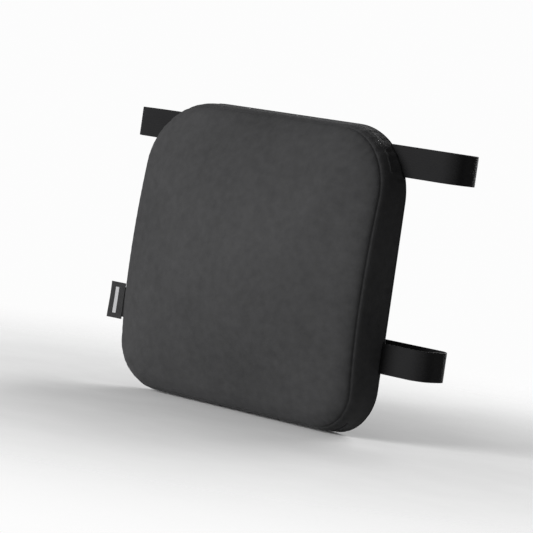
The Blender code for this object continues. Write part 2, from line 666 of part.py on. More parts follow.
def buckle_socket(name, z):
    """The female half: a flat sleeve with side windows and a webbing bar."""
    half, width = SOCKET_THICKNESS / 2, SOCKET_WIDTH / 2
    inner, cavity = half - SOCKET_WALL, width - SOCKET_SIDE_WALL
    socket = add_part(name, box_mesh((0.0, BUCKLE_Y - half, z - width),
                                     (SOCKET_LENGTH, BUCKLE_Y + half, z + width)), ACETAL)
    round_edges(socket, 0.0016)
    webbing_frame(socket, SOCKET_LENGTH, 1, z)
    cut_box(socket, (-0.01, BUCKLE_Y - inner, z - cavity),
            (SOCKET_LENGTH - SOCKET_END_WALL, BUCKLE_Y + inner, z + cavity))
    cut_box(socket, (WINDOW_START, BUCKLE_Y - inner, z - width - 0.01),
            (WINDOW_END, BUCKLE_Y + inner, z + width + 0.01))


def buckle_plug(name, z):
    """The male half's body: webbing bar, centre guide and the pockets of the two arms."""
    half, width = SOCKET_THICKNESS / 2 - PLUG_STEP, SOCKET_WIDTH / 2 - PLUG_STEP
    plug = add_part(name, box_mesh((-PLUG_LENGTH, BUCKLE_Y - half, z - width),
                                   (-GAP, BUCKLE_Y + half, z + width)), ACETAL)
    round_edges(plug, 0.0016)
    webbing_frame(plug, -PLUG_LENGTH, -1, z)
    guide = ARM_THICKNESS / 2
    join_box(plug, (-0.002, BUCKLE_Y - guide, z - GUIDE_WIDTH / 2),
             (GUIDE_LENGTH, BUCKLE_Y + guide, z + GUIDE_WIDTH / 2))
    pocket = ARM_ROOT_RADIUS + ARM_CLEARANCE
    for side in (-1, 1):
        hinge = z + side * ARM_HINGE_Z
        cut_box(plug, (ARM_HINGE_X - pocket, BUCKLE_Y - guide - GAP, hinge - pocket),
                (0.001, BUCKLE_Y + guide + GAP, hinge + pocket))
    set_origin(plug, (PLUG_BAR_X, BUCKLE_Y, z))


def buckle_arm(name, z, side):
    """A springy prong with a shoulder that catches the socket's window."""
    shoulder_x = WINDOW_START + GAP
    pad = SOCKET_WIDTH / 2 - ARM_CLEARANCE
    root, stem = ARM_ROOT_RADIUS, ARM_STEM / 2
    middle = ARM_HINGE_Z
    heel = [(ARM_HINGE_X + root * math.cos(a), middle + root * math.sin(a))
            for a in (math.radians(45 + 30 * k) for k in range(10))]
    points = heel + [(ARM_HINGE_X + 0.004, middle - stem), (shoulder_x, middle - stem - 0.0004),
                     (ARM_END_X - 0.004, middle - stem - 0.0006), (ARM_END_X, middle - 0.0006),
                     (ARM_END_X - 0.0015, middle + 0.0022), (ARM_END_X - 0.008, pad),
                     (shoulder_x + 0.001, pad), (shoulder_x, pad - 0.001),
                     (shoulder_x, middle + stem), (ARM_HINGE_X + 0.004, middle + stem)]
    points = [(x, side * v) for x, v in points]
    place = Matrix.Translation((0, BUCKLE_Y, z)) @ Matrix.Rotation(math.pi / 2, 4, "X")
    arm = add_part(name, outline_mesh(points, ARM_THICKNESS / 2, place), ACETAL)
    set_origin(arm, (ARM_HINGE_X, BUCKLE_Y, z + side * ARM_HINGE_Z))


def three_bar_slide(name, z):
    """The frame that sets the strap's length: two slots and a centre bar."""
    half = GLIDE_THICKNESS / 2
    frame = add_part(name, box_mesh((GLIDE_X - GLIDE_HALF, GLIDE_Y - half, z - FRAME_WIDTH / 2),
                                    (GLIDE_X + GLIDE_HALF, GLIDE_Y + half, z + FRAME_WIDTH / 2)), ACETAL)
    round_edges(frame, 0.0012)
    for side in (-1, 1):
        slot = sorted((GLIDE_X + side * GLIDE_CENTRE_BAR / 2,
                       GLIDE_X + side * (GLIDE_CENTRE_BAR / 2 + GLIDE_SLOT)))
        cut_box(frame, (slot[0], GLIDE_Y - 0.01, z - SLOT_WIDTH / 2),
                (slot[1], GLIDE_Y + 0.01, z + SLOT_WIDTH / 2))
    set_origin(frame, (GLIDE_X, GLIDE_Y, z))


def strap_set(word, z, half_width):
    """One complete strap: both ends, the buckle and the slide."""
    strap_right(word + "_strap_right", z, half_width)
    buckle_socket(word + "_buckle_socket", z)
    buckle_plug(word + "_buckle_plug", z)
    buckle_arm(word + "_buckle_arm_top", z, 1)
    buckle_arm(word + "_buckle_arm_bottom", z, -1)
    strap_left(word + "_strap_left", z, half_width)
    strap_span(word + "_strap_span", z, half_width)
    three_bar_slide(word + "_strap_slide", z)
    strap_threaded(word + "_strap_threaded", z)
    strap_anchor(word + "_strap_anchor", z)
    strap_doubled(word + "_strap_doubled", z)


foam_core()
front_panel()
boxing()
back_panels()
zip_rows()
zip_slider()
zip_pull()
side_label()
strap_set("upper", UPPER_STRAP_Z, UPPER_LOOP_HALF_WIDTH)
strap_set("lower", LOWER_STRAP_Z, LOWER_LOOP_HALF_WIDTH)
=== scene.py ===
"""Lumbar support cushion with two buckled elastic straps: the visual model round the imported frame.

Frame, in metres: origin on the back panel's outer face, in the middle of the cushion.
-Y faces the sitter, +Y faces the chair's back, +X is the viewer's right, +Z is up.
"""

import math

import bmesh
import bpy
import numpy as np
from mathutils import Matrix, Vector
from mathutils.geometry import delaunay_2d_cdt
from mathutils.kdtree import KDTree


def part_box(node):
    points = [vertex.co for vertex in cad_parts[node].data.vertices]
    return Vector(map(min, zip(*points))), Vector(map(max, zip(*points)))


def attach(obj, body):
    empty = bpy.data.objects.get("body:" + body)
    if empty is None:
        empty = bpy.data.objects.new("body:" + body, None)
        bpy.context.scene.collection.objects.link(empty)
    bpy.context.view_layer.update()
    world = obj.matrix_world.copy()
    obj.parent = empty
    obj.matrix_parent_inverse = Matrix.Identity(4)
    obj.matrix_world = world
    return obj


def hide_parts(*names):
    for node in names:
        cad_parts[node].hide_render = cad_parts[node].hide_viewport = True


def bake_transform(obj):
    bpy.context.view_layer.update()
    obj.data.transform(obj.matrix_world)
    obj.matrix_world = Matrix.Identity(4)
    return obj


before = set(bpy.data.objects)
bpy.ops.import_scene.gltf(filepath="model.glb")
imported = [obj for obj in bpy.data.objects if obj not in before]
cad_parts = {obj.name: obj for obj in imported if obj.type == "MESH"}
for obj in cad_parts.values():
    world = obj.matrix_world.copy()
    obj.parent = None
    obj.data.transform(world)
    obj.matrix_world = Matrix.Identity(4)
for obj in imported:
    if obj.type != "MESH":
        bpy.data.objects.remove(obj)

SCENE = bpy.context.scene
for default in ("Cube", "Light", "Camera"):
    if default in bpy.data.objects:
        bpy.data.objects.remove(bpy.data.objects[default], do_unlink=True)
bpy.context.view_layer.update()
RANDOM = np.random.default_rng(7)
MM = 0.001
TURN = 2 * math.pi

# ---- sizes, as in part.py ------------------------------------------------------------

GAP = 0.0003
HALF_WIDTH, HALF_HEIGHT = 0.345 / 2, 0.325 / 2
TOP_CORNER, BOTTOM_CORNER = 0.075, 0.052
CORNERS = ((1, -1, BOTTOM_CORNER), (1, 1, TOP_CORNER), (-1, 1, TOP_CORNER), (-1, -1, BOTTOM_CORNER))
DEPTH_TOP, DEPTH_LUMBAR, DEPTH_BOTTOM = 0.043, 0.060, 0.047
LUMBAR_Z = -0.030
CROWN = 0.026
FACE_EDGE = 0.028
SEAM_ANGLE, ROUNDING_END = math.radians(30), math.radians(68)
BACK_THICKNESS = 0.0016
BACK_Y = -(BACK_THICKNESS + GAP)      # where the cover's side band starts

ZIP_X, ZIP_HALF, ZIP_WINDOW = -0.112, 0.115, 0.0065
STRAP_Z = {"upper": 0.130, "lower": -0.076}
LOOP_HALF = {"upper": 0.232, "lower": 0.228}
STRAP_WIDTH, STRAP_THICKNESS = 0.032, 0.0016
SEWN_Y = BACK_Y - STRAP_THICKNESS / 2
LAYER = STRAP_THICKNESS + GAP
REAR_Y = 0.0455 + STRAP_THICKNESS / 2
MAIN_Y = REAR_Y + LAYER
BUCKLE_Y = 0.0455 + GAP + 0.0055
GLIDE_X = -0.101                      # the three-bar slide


# ---- mesh helpers --------------------------------------------------------------------

def add_object(name, mesh, smooth=True, sharp=None):
    """Link a mesh as an object with outward normals, smooth shaded up to the sharp angle in degrees."""
    bm = bmesh.new()
    bm.from_mesh(mesh)
    bmesh.ops.recalc_face_normals(bm, faces=bm.faces)
    bm.to_mesh(mesh)
    bm.free()
    if smooth:
        mesh.shade_smooth()
    if sharp:
        mesh.set_sharp_from_angle(angle=math.radians(sharp))
    mesh.name = name
    made = bpy.data.objects.new(name, mesh)
    SCENE.collection.objects.link(made)
    return made


def mesh_from(points, faces):
    mesh = bpy.data.meshes.new("mesh")
    mesh.from_pydata(np.asarray(points, float).tolist(), [], faces)
    return mesh


def evaluated_mesh(obj):
    """The object's mesh with its modifiers applied."""
    return bpy.data.meshes.new_from_object(obj.evaluated_get(bpy.context.evaluated_depsgraph_get()))


def grid_faces(rows, columns, first=0):
    """Quads between closed rows of points."""
    faces = []
    for a in range(first, first + (rows - 1) * columns, columns):
        for c in range(columns):
            d = (c + 1) % columns
            faces.append((a + c, a + d, a + columns + d, a + columns + c))
    return faces


def tube_faces(rows, columns, first=0):
    """Quads between closed rows of points, and a cap at each end."""
    last = first + (rows - 1) * columns
    ends = [tuple(range(first, first + columns)), tuple(range(last, last + columns))]
    return grid_faces(rows, columns, first) + ends


def get_points(mesh):
    points = np.empty(len(mesh.vertices) * 3)
    mesh.vertices.foreach_get("co", points)
    return points.reshape(-1, 3)


def set_points(mesh, points):
    mesh.vertices.foreach_set("co", np.asarray(points, np.float32).ravel())
    mesh.update()


def face_corners(mesh):
    """The vertex at each corner of each face."""
    corners = np.empty(len(mesh.loops), int)
    mesh.loops.foreach_get("vertex_index", corners)
    return corners


def set_weave(mesh, uv):
    """The weave's UV map, in metres, from one (u, v) for each corner of each face."""
    mesh.uv_layers.new(name="weave").data.foreach_set("uv", np.asarray(uv, np.float32).ravel())


def lengthwise_weave(mesh, run, across):
    """The weave of a strip made of rows: run is each row's place and across is each column's."""
    row, column = np.divmod(face_corners(mesh), len(across))
    set_weave(mesh, np.stack((run[row], across[column]), 1))


def unit(vectors):
    return vectors / np.linalg.norm(vectors, axis=-1, keepdims=True)


def smoothstep(low, high, value):
    t = np.clip((value - low) / (high - low), 0, 1)
    return t * t * (3 - 2 * t)


def bump(value, middle, spread):
    return np.exp(-((value - middle) / spread) ** 2)


def span(middle, half):
    return middle - half, middle + half


# ---- materials -----------------------------------------------------------------------

class Finish:
    """A Principled material with helpers that add nodes to it."""

    def __init__(self, name, **settings):
        self.material = bpy.data.materials.new(name)
        self.material.use_nodes = True
        self.tree = self.material.node_tree
        self.shader = self.tree.nodes["Principled BSDF"]
        for key, value in settings.items():
            self.shader.inputs[key.replace("_", " ")].default_value = value

    def feed(self, socket, value):
        if isinstance(value, bpy.types.NodeSocket):
            self.tree.links.new(value, socket)
        elif value is not None:
            socket.default_value = value

    def node(self, kind, inputs=(), output=0, **settings):
        """Add a node and return one of its outputs, or all of them where output is None."""
        made = self.tree.nodes.new("ShaderNode" + kind)
        for key, value in settings.items():
            setattr(made, key, value)
        for key, value in dict(inputs).items():
            self.feed(made.inputs[key], value)
        return made.outputs if output is None else made.outputs[output]

    def math(self, operation, *values, clamp=False):
        return self.node("Math", enumerate(values), operation=operation, use_clamp=clamp)

    def wave(self, value, length, shift=0.0):
        """A sine from -1 to 1 along value."""
        return self.math("SINE", self.math("MULTIPLY_ADD", value, TURN / length, shift))

    def total(self, *parts):
        """The sum of (value, share) parts."""
        whole = 0.0
        for value, share in parts:
            whole = self.math("MULTIPLY_ADD", value, share, whole)
        return whole

    def place(self):
        """Object coordinates, which are the row frame's metres."""
        return self.node("TexCoord", output=3)

    def uv(self):
        """The two coordinates of the weave's UV map, in metres."""
        return self.node("SeparateXYZ", {0: self.node("UVMap", uv_map="weave")}, None)[:2]

    def noise(self, scale, detail=3.0, rough=0.55, stretch=None):
        """Noise from 0 to 1 in the row frame; stretch scales the axes apart."""
        where = self.place()
        if stretch:
            where = self.node("Mapping", {"Vector": where, "Scale": stretch})
        return self.node("TexNoise", {"Vector": where, "Scale": scale, "Detail": detail, "Roughness": rough})

    def worn(self, gain, shift):
        """How worn an edge is, from 0 to 1, by its pointiness."""
        return self.math("MULTIPLY_ADD", self.node("NewGeometry", output=7), gain, shift, clamp=True)

    def colour(self, value, *stops):
        """A ramp of near-greys: stops are (position, red and green, blue)."""
        ramp = self.tree.nodes.new("ShaderNodeValToRGB")
        elements = ramp.color_ramp.elements
        elements.remove(elements[1])
        for k, (position, level, blue) in enumerate(stops):
            stop = elements.new(position) if k else elements[0]
            stop.position, stop.color = position, (level, level, blue, 1.0)
        self.feed(ramp.inputs[0], value)
        return ramp.outputs[0]

    def done(self, colour, rough, low, high, *layers):
        """Set the colour, the roughness from low to high, and (height, depth in metres) bump layers."""
        self.feed(self.shader.inputs["Base Color"], colour)
        self.feed(self.shader.inputs["Roughness"], self.math("MULTIPLY_ADD", rough, high - low, low))
        normal = None
        for height, depth in layers:
            normal = self.node("Bump", {"Height": height, "Distance": depth, "Strength": 1.0, "Normal": normal})
        self.feed(self.shader.inputs["Normal"], normal)
        return self.material


SHEEN_TINT = (0.60, 0.60, 0.62, 1.0)


def cover_fabric():
    """A fine interlock knit: columns of small V-shaped loops."""
    f = Finish("cover_fabric_soft_knit", Sheen_Weight=0.04, Sheen_Roughness=0.4,
               Specular_IOR_Level=0.10, Sheen_Tint=SHEEN_TINT)
    u, v = f.uv()
    pitch = 0.0011
    column = f.math("FRACT", f.math("MULTIPLY", u, 1 / pitch))
    across = f.math("ABSOLUTE", f.math("MULTIPLY_ADD", column, 2.0, -1.0))
    slant = f.total((v, 1 / (pitch * 0.9)), (across, 0.45))
    ridge = f.math("SUBTRACT", 1.0, f.math("MULTIPLY", across, across))
    knit = f.total((ridge, 0.6), (f.wave(slant, 1.0), 0.22))
    fibre = f.noise(900.0, 2.0, 0.7)
    tone = f.total((f.noise(110.0, 2.0, 0.5), 0.35), (f.noise(9.0, 4.0, 0.6), 0.45), (knit, 0.25), (fibre, 0.25))
    return f.done(f.colour(tone, (0.3, 0.0165, 0.0170), (0.85, 0.0375, 0.0384)), fibre, 0.72, 0.94,
                  (f.noise(60.0, 3.0, 0.6), 0.0006), (knit, 0.00016), (fibre, 0.00007))


def elastic_webbing():
    f = Finish("elastic_webbing_black", Sheen_Weight=0.05, Sheen_Roughness=0.4, Specular_IOR_Level=0.12,
               Sheen_Tint=SHEEN_TINT)
    u, v = f.uv()
    weave = f.math("MULTIPLY_ADD", f.math("MULTIPLY", f.wave(u, 0.00085), f.wave(v, 0.0020, 0.6)), 0.5, 0.5)
    fuzz = f.noise(1400.0, 2.0, 0.7)
    tone = f.total((f.noise(25.0, 3.0, 0.6), 0.3), (fuzz, 0.35), (weave, 0.45))
    return f.done(f.colour(tone, (0.2, 0.0030, 0.0032), (0.9, 0.0100, 0.0106)), fuzz, 0.62, 0.86,
                  (weave, 0.00022), (fuzz, 0.00008))


def thread():
    f = Finish("polyester_thread_dark", Sheen_Weight=0.3, Specular_IOR_Level=0.4)
    strands = f.noise(2500.0, 2.0, 0.6)
    return f.done(f.colour(strands, (0.3, 0.020, 0.022), (0.7, 0.034, 0.0374)), strands, 0.45, 0.7,
                  (strands, 0.00005))


def black_acetal():
    f = Finish("black_acetal_satin", Specular_IOR_Level=0.45)
    grain = f.noise(1800.0, 2.0, 0.5)
    flow = f.noise(70.0, 4.0, 0.6, stretch=(1.0, 3.0, 1.0))
    tone = f.total((flow, 0.5), (f.worn(8.0, -4.1), 0.5))
    return f.done(f.colour(tone, (0.15, 0.0085, 0.0090), (0.9, 0.0250, 0.0265)), flow, 0.30, 0.50,
                  (grain, 0.00004), (flow, 0.0001))


def woven_backing():
    f = Finish("back_fabric_plain_weave", Sheen_Weight=0.12, Sheen_Roughness=0.5, Specular_IOR_Level=0.25,
               Sheen_Tint=SHEEN_TINT)
    u, v = f.uv()
    weave = f.math("MULTIPLY_ADD", f.math("MULTIPLY", f.wave(u, 0.0016), f.wave(v, 0.0016)), 0.5, 0.5)
    fibre = f.noise(1100.0, 2.0, 0.7)
    tone = f.total((f.noise(12.0, 4.0, 0.6), 0.45), (fibre, 0.3), (weave, 0.35))
    return f.done(f.colour(tone, (0.2, 0.0110, 0.0118), (0.9, 0.0265, 0.0280)), fibre, 0.70, 0.92,
                  (f.noise(45.0, 3.0, 0.6), 0.0005), (weave, 0.00022), (fibre, 0.00006))


def zip_tape_cloth():
    """A herringbone twill."""
    f = Finish("zip_tape_twill", Sheen_Weight=0.1, Specular_IOR_Level=0.3)
    u, v = f.uv()
    repeat = 0.0040
    fold = f.math("ABSOLUTE", f.math("SUBTRACT", f.math("FRACT", f.math("MULTIPLY", v, 1 / repeat)), 0.5))
    weave = f.math("MULTIPLY_ADD", f.wave(f.math("MULTIPLY_ADD", fold, repeat, u), 0.0008), 0.5, 0.5)
    fuzz = f.noise(1500.0, 2.0, 0.6)
    return f.done(f.colour(f.total((fuzz, 0.4), (weave, 0.6)), (0.2, 0.0100, 0.0108), (0.9, 0.0240, 0.0255)),
                  fuzz, 0.65, 0.88, (weave, 0.00015), (fuzz, 0.00005))


def coil_nylon():
    f = Finish("zip_coil_nylon", Specular_IOR_Level=0.5)
    flow = f.noise(600.0, 2.0, 0.5)
    return f.done(f.colour(flow, (0.3, 0.010, 0.011), (0.7, 0.020, 0.022)), flow, 0.24, 0.40, (flow, 0.00003))


def black_nickel():
    f = Finish("black_nickel_metal", Metallic=1.0)
    scratches = f.noise(700.0, 3.0, 0.6, stretch=(1.0, 1.0, 0.15))
    tone = f.total((scratches, 0.5), (f.worn(9.0, -4.6), 0.6))
    return f.done(f.colour(tone, (0.1, 0.075, 0.082), (0.5, 0.12, 0.128), (1.0, 0.30, 0.31)),
                  scratches, 0.24, 0.42, (scratches, 0.00003))


def woven_satin():
    """The label's dark satin with a plain light bar woven in its middle."""
    f = Finish("woven_label_satin", Sheen_Weight=0.05, Specular_IOR_Level=0.2)
    place = f.node("SeparateXYZ", {0: f.place()}, None)
    low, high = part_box("side_label")
    off_x = f.math("ABSOLUTE", f.math("SUBTRACT", place[0], (low.x + high.x) / 2 - 0.0008))
    off_z = f.math("ABSOLUTE", f.math("SUBTRACT", place[2], (low.z + high.z) / 2))
    bar = f.math("MULTIPLY", f.math("LESS_THAN", off_x, 0.0024), f.math("LESS_THAN", off_z, 0.0145))
    weave = f.math("MULTIPLY_ADD", f.wave(place[2], 0.00055), 0.5, 0.5)
    fuzz = f.noise(1600.0, 2.0, 0.6)
    tone = f.total((fuzz, 0.5), (weave, 0.5))
    dark = f.colour(tone, (0.2, 0.0035, 0.0038), (0.9, 0.0110, 0.0117))
    light = f.colour(tone, (0.2, 0.20, 0.205), (0.9, 0.34, 0.345))
    colour = f.node("Mix", {0: bar, 6: dark, 7: light}, 2, data_type="RGBA")
    return f.done(colour, fuzz, 0.42, 0.62, (weave, 0.0001), (bar, 0.00008), (fuzz, 0.00004))


MATERIALS = {"cover_fabric": cover_fabric(), "elastic_webbing": elastic_webbing(), "black_acetal": black_acetal(),
             "back_fabric": woven_backing(), "zip_tape": zip_tape_cloth(), "nylon_coil": coil_nylon(),
             "zip_metal": black_nickel(), "woven_label": woven_satin()}
THREAD = thread()


def finish_piece(obj, slot, body=None, *nodes, material=None):
    """Give a piece the material of its slot, or the material given, the body it rides, and hide the nodes it stands
    for.
    """
    obj.data.materials.clear()
    obj.data.materials.append(material or MATERIALS[slot])
    if body:
        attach(obj, body)
    if nodes:
        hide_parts(*nodes)
    return obj


# ---- the cushion's cover -------------------------------------------------------------

COVER_SLACK = 0.0035                 # how much smaller the form is before the cloth fills it
SEAM_SLACK = 0.3 * COVER_SLACK       # the same near the seams
MOST_SWELL = 0.006                   # how far the cloth may move a point
SOFTEN = 0.011                       # reach of the face's evening out
COVER_COLUMNS = 720
FIRST_SIDE_ROW = 4                   # the rows before it close the back


def edge_depth(z):
    """Depth of the cushion at its outline, deepest at the lumbar height."""
    above = z > LUMBAR_Z
    drop = DEPTH_LUMBAR - np.where(above, DEPTH_TOP, DEPTH_BOTTOM)
    return DEPTH_LUMBAR - drop * ((z - LUMBAR_Z) / np.where(above, HALF_HEIGHT - LUMBAR_Z, HALF_HEIGHT + LUMBAR_Z)) ** 2


def outline(count):
    """Evenly spaced points on the outline seen from the front, their outward normals and the spacing."""
    fine, out = [], []
    for k, (side_x, side_z, radius) in enumerate(CORNERS):
        middle = np.array((side_x * (HALF_WIDTH - radius), side_z * (HALF_HEIGHT - radius)))
        for angle in np.radians(np.linspace(90 * k - 90, 90 * k, 200)):
            out.append(np.array((math.cos(angle), math.sin(angle))))
            fine.append(middle + radius * out[-1])
    fine, out = np.array(fine + fine[:1]), np.array(out + out[:1])
    run = np.concatenate(([0], np.cumsum(np.linalg.norm(np.diff(fine, axis=0), axis=1))))
    at = np.arange(count) / count * run[-1]
    points, normals = (np.stack([np.interp(at, run, line[:, k]) for k in (0, 1)], 1) for line in (fine, out))
    return points, unit(normals), run[-1] / count


def cover_rows(count, seam_steps, crown_steps, side_shares):
    """The cover, slightly slack, as rows of points from its back edge to nearly the middle of the face."""
    points, normals, _ = outline(count)
    rows = []

    def add_row(flat, y):
        rows.append(np.stack((flat[:, 0], y + 0 * flat[:, 0], flat[:, 1]), 1))

    near_strap = sum(1 - smoothstep(0.0160, 0.0178, np.abs(points[:, 1] - z)) for z in STRAP_Z.values())
    near_strap[np.abs(points[:, 0]) < 0.12] = 0
    back = BACK_Y - 0.0021 * near_strap
    for inset, y in ((0.012, -0.0047), (0.009, back), (0.002, back), (0.0005, back)):
        add_row(points - inset * normals, y)
    for share in side_shares:
        flat = points - (0.0004 * (1 - share) ** 8 + SEAM_SLACK * smoothstep(0.0, 0.5, share)) * normals
        add_row(flat, back - share * (edge_depth(flat[:, 1]) - FACE_EDGE + back) - 0.0004)
    for arc in seam_steps:
        angle = SEAM_ANGLE + arc / FACE_EDGE
        flat = points - (FACE_EDGE * (1 - math.cos(angle)) + SEAM_SLACK) * normals
        add_row(flat, SEAM_SLACK - edge_depth(flat[:, 1]) + FACE_EDGE * (1 - math.sin(angle)))
    start = FACE_EDGE * math.sin(ROUNDING_END)
    drawn_in = FACE_EDGE * (1 - math.cos(ROUNDING_END))
    half = np.array((HALF_WIDTH - drawn_in, HALF_HEIGHT - drawn_in))
    base = points - (drawn_in + SEAM_SLACK) * normals
    around = np.arctan2(base[:, 1] / half[1], base[:, 0] / half[0])
    oval = half * np.stack((np.cos(around), np.sin(around)), 1)
    for share in crown_steps:
        flat = (base + (oval - base) * math.sqrt(share)) * (1 - share)
        rise = (CROWN + FACE_EDGE - start - COVER_SLACK) * (1 - (1 - share) ** 2)
        add_row(flat, SEAM_SLACK - edge_depth(flat[:, 1]) + FACE_EDGE - start - rise)
    return np.array(rows)


def runs(grid):
    """How far along its column of the grid each point lies."""
    step = np.linalg.norm(np.diff(grid, axis=0), axis=2)
    return np.concatenate((np.zeros((1, grid.shape[1])), np.cumsum(step, axis=0)))


def swell_share(rows, seam_row):
    """How much of the cloth's movement each point takes: none at the seams, all of it well away from them."""
    run = runs(rows)
    from_seam, from_back = run - run[seam_row], run - run[FIRST_SIDE_ROW]
    band = smoothstep(0.0, 0.014, from_back) * smoothstep(0.0, 0.014, -from_seam)
    share = np.where(from_seam > 0, smoothstep(0.0, 0.080, from_seam), band)
    share[:FIRST_SIDE_ROW + 1] = 0
    return np.concatenate((share.ravel(), [0.0, 1.0]))[:, None]


def swell(points, slack_points, faces):
    """Let the cloth fill out under pressure, and return how far it moves each of the points."""
    work = bpy.data.objects.new("cover_cloth", mesh_from(slack_points, faces))
    SCENE.collection.objects.link(work)
    remesh = work.modifiers.new("even", "REMESH")
    remesh.mode, remesh.voxel_size = "VOXEL", 0.0055
    bpy.context.view_layer.update()
    even = evaluated_mesh(work)
    work.modifiers.clear()
    work.data = even
    before = get_points(even)
    held = work.vertex_groups.new(name="held")
    weight = np.maximum(smoothstep(-0.012, -0.007, before[:, 1]), 0.9 * bump(seam_distance(before), 0, 0.005))
    for k in np.nonzero(weight > 0.02)[0]:
        held.add([int(k)], float(weight[k]), "REPLACE")
    cloth = work.modifiers.new("fill", "CLOTH")
    settings = cloth.settings
    settings.use_pressure, settings.uniform_pressure_force = True, 9.0
    settings.vertex_group_mass, settings.pin_stiffness = "held", 1.0
    settings.effector_weights.gravity = 0.0
    settings.tension_stiffness = settings.compression_stiffness = 6.0
    settings.shear_stiffness, settings.bending_stiffness = 3.0, 0.5
    settings.quality = 6
    cloth.point_cache.frame_start, cloth.point_cache.frame_end = 1, 20
    for step in range(1, 21):
        SCENE.frame_set(step)
    moved = get_points(evaluated_mesh(work)) - before
    SCENE.frame_set(1)
    bpy.data.objects.remove(work, do_unlink=True)
    tree = KDTree(len(before))
    for k, point in enumerate(before):
        tree.insert(point, k)
    tree.balance()
    result = np.empty_like(points)
    for k, point in enumerate(points):
        near = tree.find_n(point, 10)
        share = np.array([1 / (1e-4 + d) ** 2 for _, _, d in near])
        result[k] = (moved[[j for _, j, _ in near]] * share[:, None]).sum(0) / share.sum()
    return result


def seam_distance(points):
    """Rough distance of points from the front seam, measured in depth and inset."""
    inside = outline_inset(points[:, [0, 2]])
    depth = edge_depth(points[:, 2]) - FACE_EDGE * (1 - math.sin(SEAM_ANGLE))
    return np.hypot(inside - FACE_EDGE * (1 - math.cos(SEAM_ANGLE)), -points[:, 1] - depth)


def outline_inset(flat):
    """How far points seen from the front lie inside the outline."""
    radius = np.where(flat[:, 1] > 0, TOP_CORNER, BOTTOM_CORNER)
    over = np.stack((np.abs(flat[:, 0]) - (HALF_WIDTH - radius), np.abs(flat[:, 1]) - (HALF_HEIGHT - radius)), 1)
    return radius - np.linalg.norm(np.maximum(over, 0), axis=1) - np.minimum(over.max(1), 0)


def soften(grid, seam_row):
    """Even out the face's columns of points, so that its round edge runs into its crown with no line."""
    run = runs(grid)
    share = np.exp(-((run[:, None] - run[None]) / SOFTEN) ** 2) * np.gradient(run, axis=0)[None]
    even = np.einsum("rsc,scx->rcx", share, grid) / share.sum(1)[..., None]
    blend = smoothstep(0.003, 0.018, run - run[seam_row]) * smoothstep(0.0, 0.03, run[-1] - run)
    return grid + (even - grid) * blend[..., None]


def closed_form(rows):
    """The rows' points and faces, with a point in the middle of the back and one in the middle of the face."""
    many, around = rows.shape[:2]
    points = np.concatenate((rows.reshape(-1, 3), [[0, rows[0, 0, 1], 0], rows[-1].mean(0) - (0, 0.00002, 0)]))
    faces = grid_faces(many, around)
    last = (many - 1) * around
    for c in range(around):
        d = (c + 1) % around
        faces += [(c, many * around, d), (last + c, last + d, many * around + 1)]
    return points, faces


def cushion_cover():
    """One closed form: side band, front seam and crowned face, filled by the cloth and then given its seams."""
    arcs = MM * np.array((-14.6, -11.5, -9, -7, -5.4, -4.2, -3.2, -2.4, -1.7, -1.1, -0.55, 0, 0.55, 1.1, 1.7, 2.4,
                          3.2, 4.2, 5.4, 7, 9, 11.5, 14.5, 17.5))
    crown = np.concatenate((np.linspace(0.004, 0.9, 30), (0.93, 0.955, 0.975, 0.99)))
    sides = (0.02, 0.05, 0.1, 0.18, 0.28, 0.4, 0.53, 0.66, 0.8, 0.93)
    seam_row = FIRST_SIDE_ROW + len(sides) + list(arcs).index(0)
    rows = cover_rows(COVER_COLUMNS, arcs, crown, sides)
    points, faces = closed_form(rows)
    # The cloth is made from a coarse form with a plain flat back.
    coarse = cover_rows(200, arcs[::3], np.linspace(0.01, 0.96, 14), sides[::2])[FIRST_SIDE_ROW - 1:]
    shift = swell(points, *closed_form(coarse))
    size = np.linalg.norm(shift, axis=1)[:, None]
    shift *= MOST_SWELL * np.tanh(size / MOST_SWELL) / np.maximum(size, 1e-9)
    points = points + shift * swell_share(rows, seam_row)
    points[:-2] = soften(points[:-2].reshape(rows.shape), seam_row).reshape(-1, 3)
    mesh = mesh_from(points, faces)
    made = add_object("cushion_cover", mesh)
    detail_cover(mesh, points, rows.shape[0], seam_row)
    return made


def waves(place, low, high, total):
    """A sum of sines round a closed line of the total length, with wavelengths from low to high."""
    value = 0 * place
    for _ in range(7):
        turns = int(total / RANDOM.uniform(low, high))
        value = value + np.sin(TURN * turns * place / total + RANDOM.uniform(0, TURN))
    return value / 3.2


